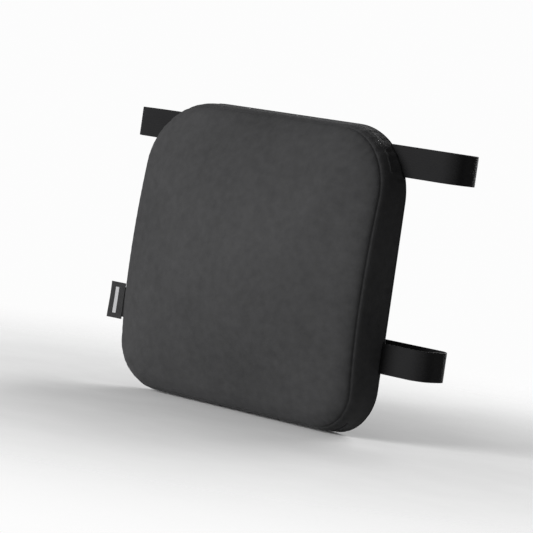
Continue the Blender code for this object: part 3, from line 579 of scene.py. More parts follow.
def detail_cover(mesh, points, many, seam_row):
    """The front seam's crease and puckers, the pull of the corners and straps, and the weave's UV map."""
    count = COVER_COLUMNS
    grid = points[:-2].reshape(many, count, 3)
    run = runs(grid)
    from_seam, from_back = run - run[seam_row], run - run[FIRST_SIDE_ROW]
    spacing = outline(count)[2]
    along, total = np.arange(count) * spacing, count * spacing
    x, z = grid[FIRST_SIDE_ROW, :, 0], grid[FIRST_SIDE_ROW, :, 2]
    near_corner, near_strap = np.zeros(count), np.zeros(count)
    for side_x, side_z, radius in CORNERS:
        off = np.hypot(x - side_x * (HALF_WIDTH - 0.29 * radius), z - side_z * (HALF_HEIGHT - 0.29 * radius))
        near_corner = np.maximum(near_corner, bump(off, 0, 0.7 * radius))
    for strap_z in STRAP_Z.values():
        near_strap = np.maximum(near_strap, bump(np.abs(z - strap_z), 0.016, 0.012) * (np.abs(x) > 0.12))
    shoulders = bump(from_seam, 0.0046, 0.0026) + bump(from_seam, -0.0046, 0.0026)
    offset = 0.0001 * shoulders - 0.0005 * bump(from_seam, 0, 0.0012)
    fade = np.exp(-np.abs(from_seam) / 0.010) * (1 - 0.8 * bump(from_seam, 0, 0.0022))
    offset += waves(along, 0.008, 0.016, total) * 0.00016 * (1 + 1.6 * near_corner) * fade
    offset += waves(along, 0.020, 0.040, total) * 0.00022 * near_corner * bump(from_seam, -0.012, 0.022)
    offset += waves(along, 0.008, 0.015, total) * 0.00025 * (1 + 2.2 * near_strap) * bump(from_back, 0.005, 0.006)
    broad = np.zeros((many, count))
    for _ in range(7):
        direction, length = RANDOM.uniform(0, math.pi), RANDOM.uniform(0.07, 0.16)
        phase = TURN * (grid[..., 0] * math.cos(direction) + grid[..., 2] * math.sin(direction)) / length
        broad += np.sin(phase + RANDOM.uniform(0, 6.3))
    offset += broad * 0.00016 * smoothstep(0.0, 0.03, from_seam)
    offset[:FIRST_SIDE_ROW] = 0
    normals = np.empty(len(mesh.vertices) * 3, np.float32)
    mesh.vertex_normals.foreach_get("vector", normals)
    shaped = points.copy()
    shaped[:-2] += normals.reshape(-1, 3)[:-2].astype(float) * offset.reshape(-1, 1)
    shaped[-1, 1] -= offset[-1].mean()
    set_points(mesh, shaped)

    # Each panel has its own grain: the band runs round the cushion, and the face is laid flat from its middle.
    centre = run[-1] - run + np.linalg.norm(grid[-1] - grid[-1].mean(0), axis=1)
    face_uv = unit(grid[..., [0, 2]] - grid[-1].mean(0)[[0, 2]]) * centre[..., None]
    band_uv = np.stack((np.broadcast_to(along, (many, count)), from_seam), 2)
    uv = np.stack((band_uv, face_uv)).reshape(2, -1, 2)
    uv = np.concatenate((uv, np.zeros((2, 2, 2))), axis=1)
    corners = face_corners(mesh)
    sizes = np.repeat((4, 3), ((many - 1) * count, 2 * count))
    starts = np.cumsum(sizes) - sizes
    on_face = np.repeat(np.minimum.reduceat(corners, starts) // count >= seam_row, sizes)
    wrapped = np.repeat(np.maximum.reduceat(corners % count, starts) == count - 1, sizes)
    uv = uv[on_face.astype(int), corners]
    uv[(corners % count == 0) & wrapped & ~on_face, 0] += total
    set_weave(mesh, uv)


cover = finish_piece(cushion_cover(), "cover_fabric", "cushion", "foam_core", "cover_front_panel", "cover_boxing")


# ---- straps --------------------------------------------------------------------------

def rounded_path(corners, radii, steps=8, spacing=0.0035):
    """The open path through the corners with an arc at each inner one, and points along its straights."""
    corners = [np.array(corner, float) for corner in corners]
    path = corners[:1]
    for before, corner, after, radius in zip(corners, corners[1:], corners[2:], radii):
        back, ahead = unit(before - corner), unit(after - corner)
        half = math.acos(max(-1, min(1, float(back @ ahead)))) / 2
        start = corner + back * (radius / math.tan(half))
        middle = corner + unit(back + ahead) * (radius / math.sin(half))
        sweep = (math.pi - 2 * half) * (-1 if back[0] * ahead[1] - back[1] * ahead[0] > 0 else 1)
        x, y = start - middle
        for k in range(steps + 1):
            c, s = math.cos(sweep * k / steps), math.sin(sweep * k / steps)
            path.append(middle + np.array((c * x - s * y, s * x + c * y)))
    path.append(corners[-1])
    filled = [path[0]]
    for a, b in zip(path, path[1:]):
        pieces = max(1, math.ceil(np.linalg.norm(b - a) / spacing))
        filled += [a + (b - a) * k / pieces for k in range(1, pieces + 1)]
    return np.array(filled)


def strap_section(width, thickness, ribs):
    """The closed outline across a strap: (across, out) points with lengthwise ribs and round edges."""
    out = thickness / 2
    flat = width / 2 - out
    across = np.linspace(-flat, flat, 4 * ribs + 1)
    depth = 0.10 * thickness * (0.5 - 0.5 * np.cos(TURN / 4 * np.arange(len(across))))
    depth[0] = depth[-1] = 0
    top = np.stack((across, out - depth), 1)
    edge = np.array([(flat + out * math.cos(a) * 0.96, out * math.sin(a)) for a in np.radians((60, 30, 0, -30, -60))])
    return np.concatenate((top, edge, top[::-1] * (1, -1), edge[::-1] * (-1, 1)))


def ribbon(name, path, z, width=STRAP_WIDTH, thickness=STRAP_THICKNESS, ribs=12):
    """A ribbed strap on edge along a path in XY, with its weave's UV map in metres."""
    into = unit(np.diff(path, axis=0))
    tangent = unit(np.concatenate((into[:1], into[:-1] + into[1:], into[-1:])))
    normal = np.stack((-tangent[:, 1], tangent[:, 0]), 1)
    section = strap_section(width, thickness, ribs)
    points = np.empty((len(path), len(section), 3))
    points[..., :2] = path[:, None] + normal[:, None] * section[None, :, 1:]
    points[..., 2] = z + section[None, :, 0]
    mesh = mesh_from(points.reshape(-1, 3), tube_faces(*points.shape[:2]))
    made = add_object(name, mesh, sharp=60)
    run = np.concatenate(([0], np.cumsum(np.linalg.norm(np.diff(path, axis=0), axis=1))))
    lengthwise_weave(mesh, run, section[:, 0])
    return made


def webbing(word, name, path, body, *nodes):
    """One stretch of a strap, riding a body, or blended later where body is None."""
    made = ribbon(f"{word}_webbing_{name}", path, STRAP_Z[word])
    return finish_piece(made, "elastic_webbing", body, *(f"{word}_strap_{node}" for node in nodes))


def sewn_end_x(z):
    """How far out a strap at height z is sewn into the cushion."""
    reach = []
    for edge in span(z, STRAP_WIDTH / 2):
        radius = TOP_CORNER if edge > 0 else BOTTOM_CORNER
        past = max(abs(edge) - (HALF_HEIGHT - radius), 0.0)
        reach.append(HALF_WIDTH - radius + math.sqrt(radius ** 2 - past ** 2))
    return min(reach) - 0.012


SLOT_LENGTH, BAR_LENGTH = LAYER + 0.0039, 0.0042
SOCKET_BAR_X = 0.034 + SLOT_LENGTH + BAR_LENGTH / 2
PLUG_BAR_X = -(0.015 + SLOT_LENGTH + BAR_LENGTH / 2)
WRAP = GAP + STRAP_THICKNESS / 2              # from a bar's surface to a strap's middle
WRAP_RADIUS = WRAP + 0.0002
BAR_REACH = BAR_LENGTH / 2 + WRAP
BELOW_BAR, ABOVE_BAR = span(BUCKLE_Y, 0.0017 + WRAP)
CENTRE_BAR = 0.004
GLIDE_SLOT = 2 * LAYER + 0.0037
GLIDE_HALF = CENTRE_BAR / 2 + GLIDE_SLOT + 0.0035
GLIDE_Y = REAR_Y + LAYER + WRAP + 0.0015
THREADED_HALF = GLIDE_HALF + 0.001
SPLIT_X = -0.150                              # the left strap's two stretches meet here


def right_strap(word):
    """From the cushion round the backrest to the socket's bar, and sewn back on itself."""
    start, edge, bar = sewn_end_x(STRAP_Z[word]), LOOP_HALF[word] - STRAP_THICKNESS / 2, SOCKET_BAR_X
    corners = [(start, SEWN_Y), (edge, SEWN_Y), (edge, REAR_Y), (bar + 0.022, REAR_Y), (bar + 0.006, BELOW_BAR),
               (bar - BAR_REACH, BELOW_BAR), (bar - BAR_REACH, ABOVE_BAR), (bar + 0.006, ABOVE_BAR),
               (bar + 0.026, MAIN_Y), (bar + 0.048, MAIN_Y)]
    path = rounded_path(corners, [0.018, 0.018, 0.012, 0.010, WRAP_RADIUS, WRAP_RADIUS, 0.008, 0.010])
    webbing(word, "right", path, "cushion", "right")


def left_strap(word):
    """The whole run from the cushion to the slide, split where it stops following one joint and follows the next."""
    z, half = STRAP_Z[word], LOOP_HALF[word]
    edge, start, end = half - STRAP_THICKNESS / 2, GAP + 0.054 - half, GLIDE_X - THREADED_HALF - GAP
    bend = (end - start) / 4
    corners = [(-sewn_end_x(z), SEWN_Y), (-edge, SEWN_Y), (-edge, REAR_Y), (start + bend, REAR_Y),
               (end - bend, MAIN_Y), (end, MAIN_Y)]
    path = rounded_path(corners, [0.018, 0.018, 0.03, 0.03])
    rear = np.nonzero((path[:, 1] > 0.04) & (path[:, 0] > SPLIT_X))[0][0]
    a, b = path[rear - 1], path[rear]
    middle = a + (b - a) * (SPLIT_X - a[0]) / (b[0] - a[0])
    far = webbing(word, "left", np.concatenate((path[:rear], [middle])), None, "left", "span")
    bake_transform(far)
    near = webbing(word, "near_slide", np.concatenate(([middle], path[rear:])), None)
    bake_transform(near)


def slide_straps(word):
    """The stretches at the three-bar slide: woven through it, sewn round its middle bar, and on to the plug."""
    z, ends = STRAP_Z[word], np.array((GLIDE_X, 0))
    crest = GLIDE_Y + 0.0015 + WRAP + LAYER
    climb, shoulder = CENTRE_BAR / 2 + GLIDE_SLOT - 0.0010, CENTRE_BAR / 2 + LAYER + 0.0010
    corners = [(-THREADED_HALF, MAIN_Y), (-climb, MAIN_Y), (-shoulder, crest), (shoulder, crest),
               (climb, MAIN_Y), (THREADED_HALF, MAIN_Y)]
    path = rounded_path(ends + corners, [0.0012, 0.0018, 0.0018, 0.0012], spacing=0.002)
    webbing(word, "threaded", path, word + "_slide", "threaded")
    reach, (low, high) = CENTRE_BAR / 2 + WRAP, span(GLIDE_Y, 0.0015 + WRAP)
    corners = [(THREADED_HALF, REAR_Y), (GLIDE_HALF - 0.0057, REAR_Y), (reach + 0.0006, low), (-reach, low),
               (-reach, high), (reach, high), (reach, low + STRAP_THICKNESS / 2 + GAP)]
    path = rounded_path(ends + corners, [0.002, 0.001, WRAP_RADIUS, WRAP_RADIUS, WRAP_RADIUS], spacing=0.002)
    webbing(word, "anchor", path, word + "_slide", "anchor")
    start, bar = GLIDE_X + THREADED_HALF + GAP, PLUG_BAR_X
    corners = [(start, MAIN_Y), (start + 0.012, MAIN_Y), (bar - 0.006, ABOVE_BAR), (bar + BAR_REACH, ABOVE_BAR),
               (bar + BAR_REACH, BELOW_BAR), (bar - 0.006, BELOW_BAR), (bar - 0.024, REAR_Y), (start, REAR_Y)]
    path = rounded_path(corners, [0.02, 0.02, WRAP_RADIUS, WRAP_RADIUS, 0.02, 0.02])
    doubled = webbing(word, "doubled", path, None, "doubled")
    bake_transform(doubled)


class Stitches:
    """Many short thread stitches in one mesh, standing out a little along +Y."""

    def __init__(self):
        self.points, self.faces = [], []

    def line(self, start, end, length=0.0027, gap=0.0008, radius=0.00028):
        start, end, out = np.array(start, float), np.array(end, float), np.array((0, 1.0, 0))
        whole = np.linalg.norm(end - start)
        along = (end - start) / whole
        side = np.cross(along, out)
        many = max(1, round(whole / (length + gap)))
        pitch = whole / many
        for k in range(many):
            low = start + along * (k * pitch + gap / 2)
            self.faces += tube_faces(5, 6, len(self.points))
            for t, size in ((0, 0.25), (0.12, 0.85), (0.5, 1.1), (0.88, 0.85), (1, 0.25)):
                middle = low + along * t * (pitch - gap) + out * radius * (0.9 * math.sin(math.pi * t) - 0.3)
                for a in np.radians(np.arange(0, 360, 60)):
                    self.points.append(middle + radius * size * (math.cos(a) * side + 0.8 * math.sin(a) * out))

    def make(self, name, slot):
        made = add_object(name, mesh_from(self.points, self.faces))
        finish_piece(made, slot, "cushion", material=THREAD)


def strap_stitches(word):
    """A box with a cross on the socket's sewn return."""
    sewn = Stitches()
    y = MAIN_Y + STRAP_THICKNESS / 2 + 0.0001
    (a, b), (low, high) = span(SOCKET_BAR_X + 0.0375, 0.008), span(STRAP_Z[word], 0.0125)
    box = [(a, y, low), (b, y, low), (b, y, high), (a, y, high)]
    for first, second in ((0, 1), (1, 2), (2, 3), (3, 0), (0, 2), (1, 3)):
        sewn.line(box[first], box[second])
    sewn.make(word + "_box_stitch", "elastic_webbing")


for word in STRAP_Z:
    right_strap(word)
    left_strap(word)
    slide_straps(word)
    strap_stitches(word)


# ---- buckles and slides --------------------------------------------------------------

FRAME_HALF, SLOT_HALF = 0.0208, 0.0168


def prism(outline_points, low, high, axis="y"):
    """A mesh from an outline in XZ run along Y, or in (z, y) run along X."""
    points = [(a, level, b) if axis == "y" else (level, b, a) for level in (low, high) for a, b in outline_points]
    many = len(outline_points)
    faces = [(k, (k + 1) % many, many + (k + 1) % many, many + k) for k in range(many)]
    return mesh_from(points, faces + [tuple(range(many))[::-1], tuple(range(many, 2 * many))])


def rectangle(x, z):
    return [(x[0], z[0]), (x[1], z[0]), (x[1], z[1]), (x[0], z[1])]


def block(x, y, z):
    """A plain box, used to cut grooves or fill corners: each argument is its low and high side."""
    return prism(rectangle(x, z), *y)


def rounded_polygon(corners, radius, steps=5):
    """A closed polygon with its corners rounded; radius is one size or one for each corner."""
    radii = radius if hasattr(radius, "__len__") else [radius] * len(corners)
    points = []
    for k, (corner, r) in enumerate(zip(corners, radii)):
        part = rounded_path([corners[k - 1], corner, corners[(k + 1) % len(corners)]], [r], steps, 1.0)
        points += [tuple(p) for p in part[1:-1]]
    return points


def slab(x, z, radius, y, steps=5):
    """A plate with rounded corners: x, z and y are its low and high sides."""
    return prism(rounded_polygon(rectangle(x, z), radius, steps), *y)


def superellipse_loft(stations, y, z, power=5.0, around=56):
    """A body along X with crowned faces: stations are (x, half width, half thickness) in millimetres."""
    angles = np.arange(around) / around * TURN
    c, s = np.cos(angles), np.sin(angles)
    shape = np.stack((np.sign(c) * np.abs(c) ** (2 / power), np.sign(s) * np.abs(s) ** (2 / power)), 1)
    rows = [[(x, y + thick * v, z + wide * u) for u, v in shape] for x, wide, thick in MM * np.array(stations)]
    return mesh_from(np.array(rows).reshape(-1, 3), tube_faces(len(rows), around))


def ball(middle, size, steps=32):
    """A stretched ball, used to press a hollow into a face."""
    bm = bmesh.new()
    bmesh.ops.create_uvsphere(bm, u_segments=steps, v_segments=steps // 2, radius=1.0)
    bm.transform(Matrix.Translation(middle) @ Matrix.Diagonal((*size, 1.0)))
    mesh = bpy.data.meshes.new("ball")
    bm.to_mesh(mesh)
    bm.free()
    return mesh


def moulded(name, base, add=(), cut=(), bevel=0.0004, segments=2):
    """A moulded piece: bodies joined, hollows cut and every hard edge rounded."""
    target = add_object(name + "_base", base, smooth=False)
    helpers = []
    for operation, meshes in (("UNION", add), ("DIFFERENCE", cut)):
        for mesh in meshes:
            helpers.append(add_object("helper", mesh, smooth=False))
            step = target.modifiers.new("step", "BOOLEAN")
            step.operation, step.solver, step.object = operation, "EXACT", helpers[-1]
    step = target.modifiers.new("rounding", "BEVEL")
    step.width, step.segments, step.limit_method = bevel, segments, "ANGLE"
    step.angle_limit, step.use_clamp_overlap, step.miter_outer = math.radians(35), True, "MITER_ARC"
    bpy.context.view_layer.update()
    mesh = evaluated_mesh(target)
    for used in (target, *helpers):
        bpy.data.objects.remove(used, do_unlink=True)
    return add_object(name, mesh, sharp=40)


def webbing_frame(start, direction, z):
    """The slotted end of a buckle half that holds the strap: its body and its slot."""
    end, inner = start + direction * (0.002 + SLOT_LENGTH + BAR_LENGTH), start - direction * 0.004
    (low, high), (inner_low, inner_high) = span(z, FRAME_HALF - 0.0004), span(z, FRAME_HALF - 0.001)
    corners = [(inner, inner_low), (end, low), (end, high), (inner, inner_high)]
    body = prism(rounded_polygon(corners, [0.001, 0.0045, 0.0045, 0.001]), *span(BUCKLE_Y, 0.0017))
    slot = sorted((start + direction * 0.002, start + direction * (0.002 + SLOT_LENGTH)))
    return body, slab(slot, span(z, SLOT_HALF), 0.0007, span(BUCKLE_Y, 0.01), 3)


# In millimetres: (x, half width, half thickness) of the buckle's bodies, and (x, distance from the middle) of an arm.
SLEEVE = [(0, 20.4, 5.1), (0.6, 20.7, 5.4), (2, 20.8, 5.5), (9, 20.6, 5.5), (16, 20.2, 5.4), (23, 20.6, 5.5),
          (27, 20.7, 5.3), (29.5, 20.5, 4.7), (31.2, 20.1, 3.8), (32.5, 19.5, 2.6)]
PLUG = [(-0.3, 20.1, 4.9), (-1, 20.3, 5), (-7, 20.3, 5), (-9.5, 20.2, 4.7), (-11.5, 19.9, 3.9), (-13.2, 19.5, 2.6)]
GUIDE = [(-2, 3.4, 2.6), (15, 3.3, 2.55), (18.5, 3, 2.3), (19.7, 2.2, 1.7), (20, 1.2, 1)]
ARM_HEEL = [(-3.5 + 1.8 * math.cos(a), 14 + 1.8 * math.sin(a)) for a in np.radians(np.arange(45, 316, 27))]
ARM = ARM_HEEL + [(0.5, 12.8), (5, 12.6), (9.3, 12.4), (16, 12.2), (23, 12.2), (25.6, 12.9), (26.9, 13.6), (26.8, 15),
                  (25.5, 16.2), (22.8, 18.4), (20.5, 19.6), (19, 20.1), (16.5, 20.2), (12, 20), (10.4, 19.7),
                  (9.4, 18.8), (9.3, 17), (8.8, 15.5), (5, 15.2), (0.5, 15.2)]
ARM_PAD = 0.0202


def buckle(word):
    """Side-release buckle: sleeve with side windows, plug with a guide, and two springy arms."""
    z, y = STRAP_Z[word], BUCKLE_Y
    frame_body, frame_slot = webbing_frame(0.032, 1, z)
    cuts = [frame_slot, slab((-0.01, 0.028), span(z, 0.0178), [0.0005, 0.004, 0.004, 0.0005], span(y, 0.0034))]
    for side in (-1, 1):
        window = sorted((z + side * 0.014, z + side * 0.03))
        cuts.append(slab((0.009, 0.023), window, 0.0016, span(y, 0.0034)))
        cuts.append(ball((0.0185, y + side * 0.0067, z), (0.0085, 0.0021, 0.0105)))
    for k in range(4):
        x = 0.0030 + 0.0014 * k
        cuts.append(block((x, x + 0.0006), (y + 0.0052, y + 0.007), span(z, 0.009 - 0.0012 * k)))
    socket = moulded(word + "_socket_shell", superellipse_loft(SLEEVE, y, z), [frame_body], cuts)
    finish_piece(socket, "black_acetal", "cushion", word + "_buckle_socket")

    frame_body, frame_slot = webbing_frame(-0.013, -1, z)
    cuts = [frame_slot]
    for side in (-1, 1):
        cuts.append(block((-0.0059, 0.001), span(y, 0.0029), span(z + side * 0.014, 0.0024)))
        cuts.append(ball((-0.0075, y + side * 0.0064, z), (0.0036, 0.0022, 0.0125)))
    plug = moulded(word + "_plug_body", superellipse_loft(PLUG, y, z),
                   [frame_body, superellipse_loft(GUIDE, y, z, 6.0, 32)], cuts)
    finish_piece(plug, "black_acetal", word + "_plug", word + "_buckle_plug")

    for side, place in ((1, "top"), (-1, "bottom")):
        arm = prism([(x * MM, z + side * v * MM) for x, v in ARM], *span(y, 0.0026))
        groove = sorted((z + side * (ARM_PAD - 0.00045), z + side * (ARM_PAD + 0.002)))
        grooves = [block(span(0.0121 + 0.0019 * k, 0.0003), span(y, 0.004), groove) for k in range(4)]
        made = moulded(f"{word}_arm_{place}_prong", arm, (), grooves, 0.00035)
        finish_piece(made, "black_acetal", f"{word}_arm_{place}", f"{word}_buckle_arm_{place}")


def three_bar_slide(word):
    """The slide that sets the strap's length: two slots, one middle bar and grooves for grip."""
    x, z, thick = GLIDE_X, STRAP_Z[word], span(GLIDE_Y, 0.0015)
    (left, right), (low, high) = span(x, GLIDE_HALF), span(z, FRAME_HALF)
    corners = [(left, low), (x, low + 0.0004), (right, low), (right, high), (x, high - 0.0004), (left, high)]
    body = prism(rounded_polygon(corners, [0.0045, 0.004, 0.0045] * 2), *thick)
    cuts = []
    for side in (-1, 1):
        slot = sorted((x + side * CENTRE_BAR / 2, x + side * (CENTRE_BAR / 2 + GLIDE_SLOT)))
        cuts.append(slab(slot, span(z, SLOT_HALF), 0.0007, span(GLIDE_Y, 0.01), 3))
        for k in range(3):
            at = x + side * (GLIDE_HALF - 0.0009 - 0.0008 * k)
            cuts.append(block(span(at, 0.0002), (GLIDE_Y + 0.00125, GLIDE_Y + 0.003), span(z, 0.014)))
    made = moulded(word + "_three_bar_slide", body, (), cuts, 0.0005, 3)
    finish_piece(made, "black_acetal", word + "_slide", word + "_strap_slide")


for word in STRAP_Z:
    buckle(word)
    three_bar_slide(word)


# ---- back panels ---------------------------------------------------------------------

def inset_loop(loop, distance):
    """A closed loop drawn in by a small distance; the loop runs counter-clockwise."""
    along = unit(np.roll(loop, -1, axis=0) - np.roll(loop, 1, axis=0))
    return loop + distance * np.stack((-along[:, 1], along[:, 0]), 1)


HEM = 0.0097                         # the hem's line, from the edge at the zip
RIM = ((0.0003, -0.00022), (0.0, -0.0007), (0.0002, -0.0012))  # the rounded edge's (inset, y)


def back_panel(word, keep):
    """One panel of the back: flat cloth with a turned hem along the zip, soft edges and a faint unevenness."""
    limit = keep * ZIP_X + GAP / 2
    points = outline(420)[0]
    inside = points[:, 0] > limit
    first = np.nonzero(inside & ~np.roll(inside, 1))[0][0]
    arc = np.roll(points, -first, axis=0)[:inside.sum()]
    top, window = ZIP_HALF + GAP, ZIP_WINDOW + keep * ZIP_X
    ends = [(limit, arc[-1, 1]), (limit, top), (window, top), (window, -top), (limit, -top), (limit, arc[0, 1])]
    loop = np.concatenate((arc, rounded_path(ends, [0.0003, 0.0015, 0.0015, 0.0003], 4)))
    rim = inset_loop(loop, 0.0009)
    count = len(rim)
    flat = list(rim)
    for places, pitch in ((np.arange(limit + 0.003, HALF_WIDTH, 0.0055), 0.0055),
                          (span(window + HEM, 0.0005), 0.0040)):
        for x in places:
            off_hem = abs(x - window - HEM)
            for z in np.arange(-HALF_HEIGHT + 0.003, HALF_HEIGHT, pitch):
                point = np.array((x, z))
                in_window = x < window + 0.002 and abs(z) < top + 0.002
                near_rim = np.min(np.linalg.norm(rim - point, axis=1)) <= 0.0024
                if not (in_window or near_rim or 0.0008 <= off_hem < 0.0022) and outline_inset(point[None])[0] > 0.002:
                    flat.append(point)
    made = delaunay_2d_cdt([Vector(p) for p in flat], [(k, (k + 1) % count) for k in range(count)], [], 1, 1e-7)
    spots, triangles = np.array(made[0]), made[2]
    where = {source: k for k, sources in enumerate(made[3]) for source in sources}
    uneven = sum(np.sin(TURN * (spots[:, 0] * math.cos(t) + spots[:, 1] * math.sin(t)) / size + t * 3)
                 for t, size in ((0.4, 0.061), (1.3, 0.083), (2.2, 0.052), (2.9, 0.11)))
    inner = smoothstep(0.0, 0.012, outline_inset(spots)) * smoothstep(0.0092, 0.0102, spots[:, 0] - window)
    many = len(spots)
    outer_y = -0.00002 - inner * (0.00030 + 0.00007 * uneven)
    shape = [(keep * x, y, z) for ys in (outer_y, np.full(many, -BACK_THICKNESS)) for (x, z), y in zip(spots, ys)]
    faces = [tuple(t) for t in triangles] + [tuple(many + k for k in reversed(t)) for t in triangles]
    rings = [[where[k] for k in range(count)]]
    for inset, y in RIM:
        rings.append(list(range(len(shape), len(shape) + count)))
        shape += [(keep * x, y, z) for x, z in inset_loop(loop, inset)]
    rings.append([many + k for k in rings[0]])
    for a, b in zip(rings, rings[1:]):
        faces += [(a[k], a[(k + 1) % count], b[(k + 1) % count], b[k]) for k in range(count)]
    mesh = mesh_from(shape, faces)
    piece = add_object("back_panel_cloth_" + word, mesh, sharp=70)
    set_weave(mesh, get_points(mesh)[face_corners(mesh)][:, [0, 2]])
    finish_piece(piece, "back_fabric", "cushion", "back_panel_" + word)


def panel_stitches():
    """Top stitching along the zip's hems and across its ends, and tacks over the straps' sewn ends."""
    sewn = Stitches()
    y, end = 0.00004, ZIP_HALF + 0.006
    for side in (-1, 1):
        for off in (0.0022, 0.0080):
            x = ZIP_X + side * (ZIP_WINDOW + off)
            sewn.line((x, y, -end), (x, y, end))
    left, right = span(ZIP_X, ZIP_WINDOW + 0.008)
    for z in (-end, end):
        sewn.line((left, y, z), (right, y, z), 0.0015, 0.0003)
    for z in STRAP_Z.values():
        for side in (-1, 1):
            for off in (0.0025, 0.0065):
                x = side * (sewn_end_x(z) + off)
                sewn.line((x, y - 0.0001, z - 0.013), (x, y - 0.0001, z + 0.013), 0.0013, 0.0003)
    sewn.make("back_panel_stitches", "back_fabric")


back_panel("main", 1)
back_panel("side", -1)
panel_stitches()


# ---- the zip and the label -----------------------------------------------------------

COIL_HALF = ZIP_HALF - 0.0028 - 2 * GAP
COIL_Y = BACK_Y + GAP + 0.00095
SLIDER_Z = ZIP_HALF - 0.0028 - 3 * GAP - 0.006
SLIDER_Y = COIL_Y + 0.00095 + GAP             # the underside of the slider's outer plate


def zip_tape(word, side):
    """Twill tape with fine lengthwise ribs and a cord under the coil."""
    across = np.linspace(0.0007, 0.0150, 40)
    ribs = 0.00004 * np.sin(TURN * across / 0.0011) * (across > 0.0045)
    cord = 0.00016 * bump(across, 0.0017, 0.0008)
    edge = 0.00022 * (bump(across, 0.0007, 0.0003) + bump(across, 0.0150, 0.0003))
    top = np.stack((across, BACK_Y - 0.00004 + ribs + cord - edge), 1)
    section = np.concatenate((top, np.stack((across, BACK_Y - 0.0008 + edge), 1)[::-1]))
    levels = np.linspace(-ZIP_HALF, ZIP_HALF, 93)
    points = [(ZIP_X + side * x, y, z) for z in levels for x, y in section]
    mesh = mesh_from(points, tube_faces(len(levels), len(section)))
    made = add_object("zip_twill_" + word, mesh, sharp=60)
    lengthwise_weave(mesh, levels, section[:, 0])
    finish_piece(made, "zip_tape", "cushion", "zip_tape_" + word)


def zip_coil(word, side):
    """A real coil: one nylon wire wound round its cord, with a wider head on the inner side of each turn."""
    pitch, steps, around, middle = 0.00135, 12, 6, 0.0017
    turns = int(2 * (COIL_HALF - 0.0004) / pitch)
    theta = np.arange(turns * steps + 1) / steps * TURN
    centre = np.stack((middle - 0.00098 * np.cos(theta), COIL_Y + 0.00066 * np.sin(theta),
                       (theta / TURN - turns / 2) * pitch), 1)
    tangent = unit(np.gradient(centre, axis=0))
    outward = np.stack((-np.cos(theta), np.sin(theta), 0 * theta), 1)
    outward = unit(outward - tangent * (outward * tangent).sum(1)[:, None])
    head = 1 + 0.45 * np.maximum(np.cos(theta), 0) ** 6
    third = np.cross(tangent, outward) * head[:, None]
    spin = (np.arange(around) / around * TURN)[None, :, None]
    wire = centre[:, None] + 0.00027 * (outward[:, None] * np.cos(spin) + third[:, None] * np.sin(spin))
    core = [(middle + 0.00062 * math.cos(a), COIL_Y + 0.00034 * math.sin(a), z)
            for z in np.linspace(-COIL_HALF, COIL_HALF, 24) for a in np.radians(np.arange(0, 360, 36))]
    points = np.concatenate((wire.reshape(-1, 3), core))
    points[:, 0] = ZIP_X + side * points[:, 0]
    faces = tube_faces(len(wire), around) + tube_faces(24, 10, wire.size // 3)
    made = add_object("zip_teeth_" + word, mesh_from(points, faces))
    finish_piece(made, "nylon_coil", "cushion", "zip_coil_" + word)


def zip_stop(name, x, low_z, node):
    """A crimped metal stop with two pressed grooves."""
    low_y, high_y = span(COIL_Y, 0.00095)
    body = slab(x, (low_z, low_z + 0.0028), 0.0006, (low_y, high_y), 3)
    cuts = [block((x[0] - 0.001, x[1] + 0.001), (high_y - 0.0003, high_y + 0.001), (low_z + at, low_z + at + 0.0003))
            for at in (0.0008, 0.0017)]
    finish_piece(moulded(name, body, (), cuts, 0.00022), "zip_metal", "cushion", node)


def on_slider(corners, radii, steps, y):
    """A plate on the slider from its corners, relative to the slider's middle, and radii, all in millimetres."""
    corners = [(ZIP_X + x * MM, SLIDER_Z + z * MM) for x, z in corners]
    return prism(rounded_polygon(corners, [r * MM for r in radii], steps), *y)


def slider_plate(y):
    corners = [(-3.8, -6), (3.8, -6), (4.7, -0.5), (4.7, 5), (1.5, 6), (-1.5, 6), (-4.7, 5), (-4.7, -0.5)]
    return on_slider(corners, [1, 1, 2, 1, 1.2, 1.2, 1, 2], 4, y)


def bridge_loop(corners, radius, half):
    """A prism along X from (height over the outer plate, half length) pairs, in millimetres."""
    (y0, z0), (y1, z1) = corners
    loop = [(y0, -z0), (y1, -z1), (y1, z1), (y0, z0)]
    rounded = rounded_polygon([(SLIDER_Y + y * MM, SLIDER_Z + z * MM) for y, z in loop],
                              [0.0002, radius, radius, 0.0002])
    return prism([(z, y) for y, z in rounded], *span(ZIP_X, half), axis="x")


def zip_slider():
    """Two shield-shaped plates joined by side walls and a wedge, with an arched bridge for the pull."""
    under_y, top_z = BACK_Y - 0.0008 - GAP, SLIDER_Z + 0.006
    add = [slider_plate((under_y - 0.001, under_y))]
    for side in (-1, 1):
        wall = sorted((ZIP_X + side * 0.0034, ZIP_X + side * 0.0046))
        add.append(block(wall, (BACK_Y + GAP, SLIDER_Y + 0.0005), (SLIDER_Z - 0.0045, top_z - 0.0013)))
    add.append(block(span(ZIP_X, 0.00025), (under_y - 0.0005, SLIDER_Y + 0.0005), (top_z - 0.004, top_z - 0.001)))
    add.append(bridge_loop(((0.6, 3.75), (4.0, 3.2)), 0.0016, 0.0008))
    hole = bridge_loop(((1.0, 2.55), (3.1, 2.55)), 0.0009, 0.01)
    made = moulded("zip_slider_body", slider_plate((SLIDER_Y, SLIDER_Y + 0.001)), add, [hole], 0.00025)
    finish_piece(made, "zip_metal", "zip_slider", "zip_slider")


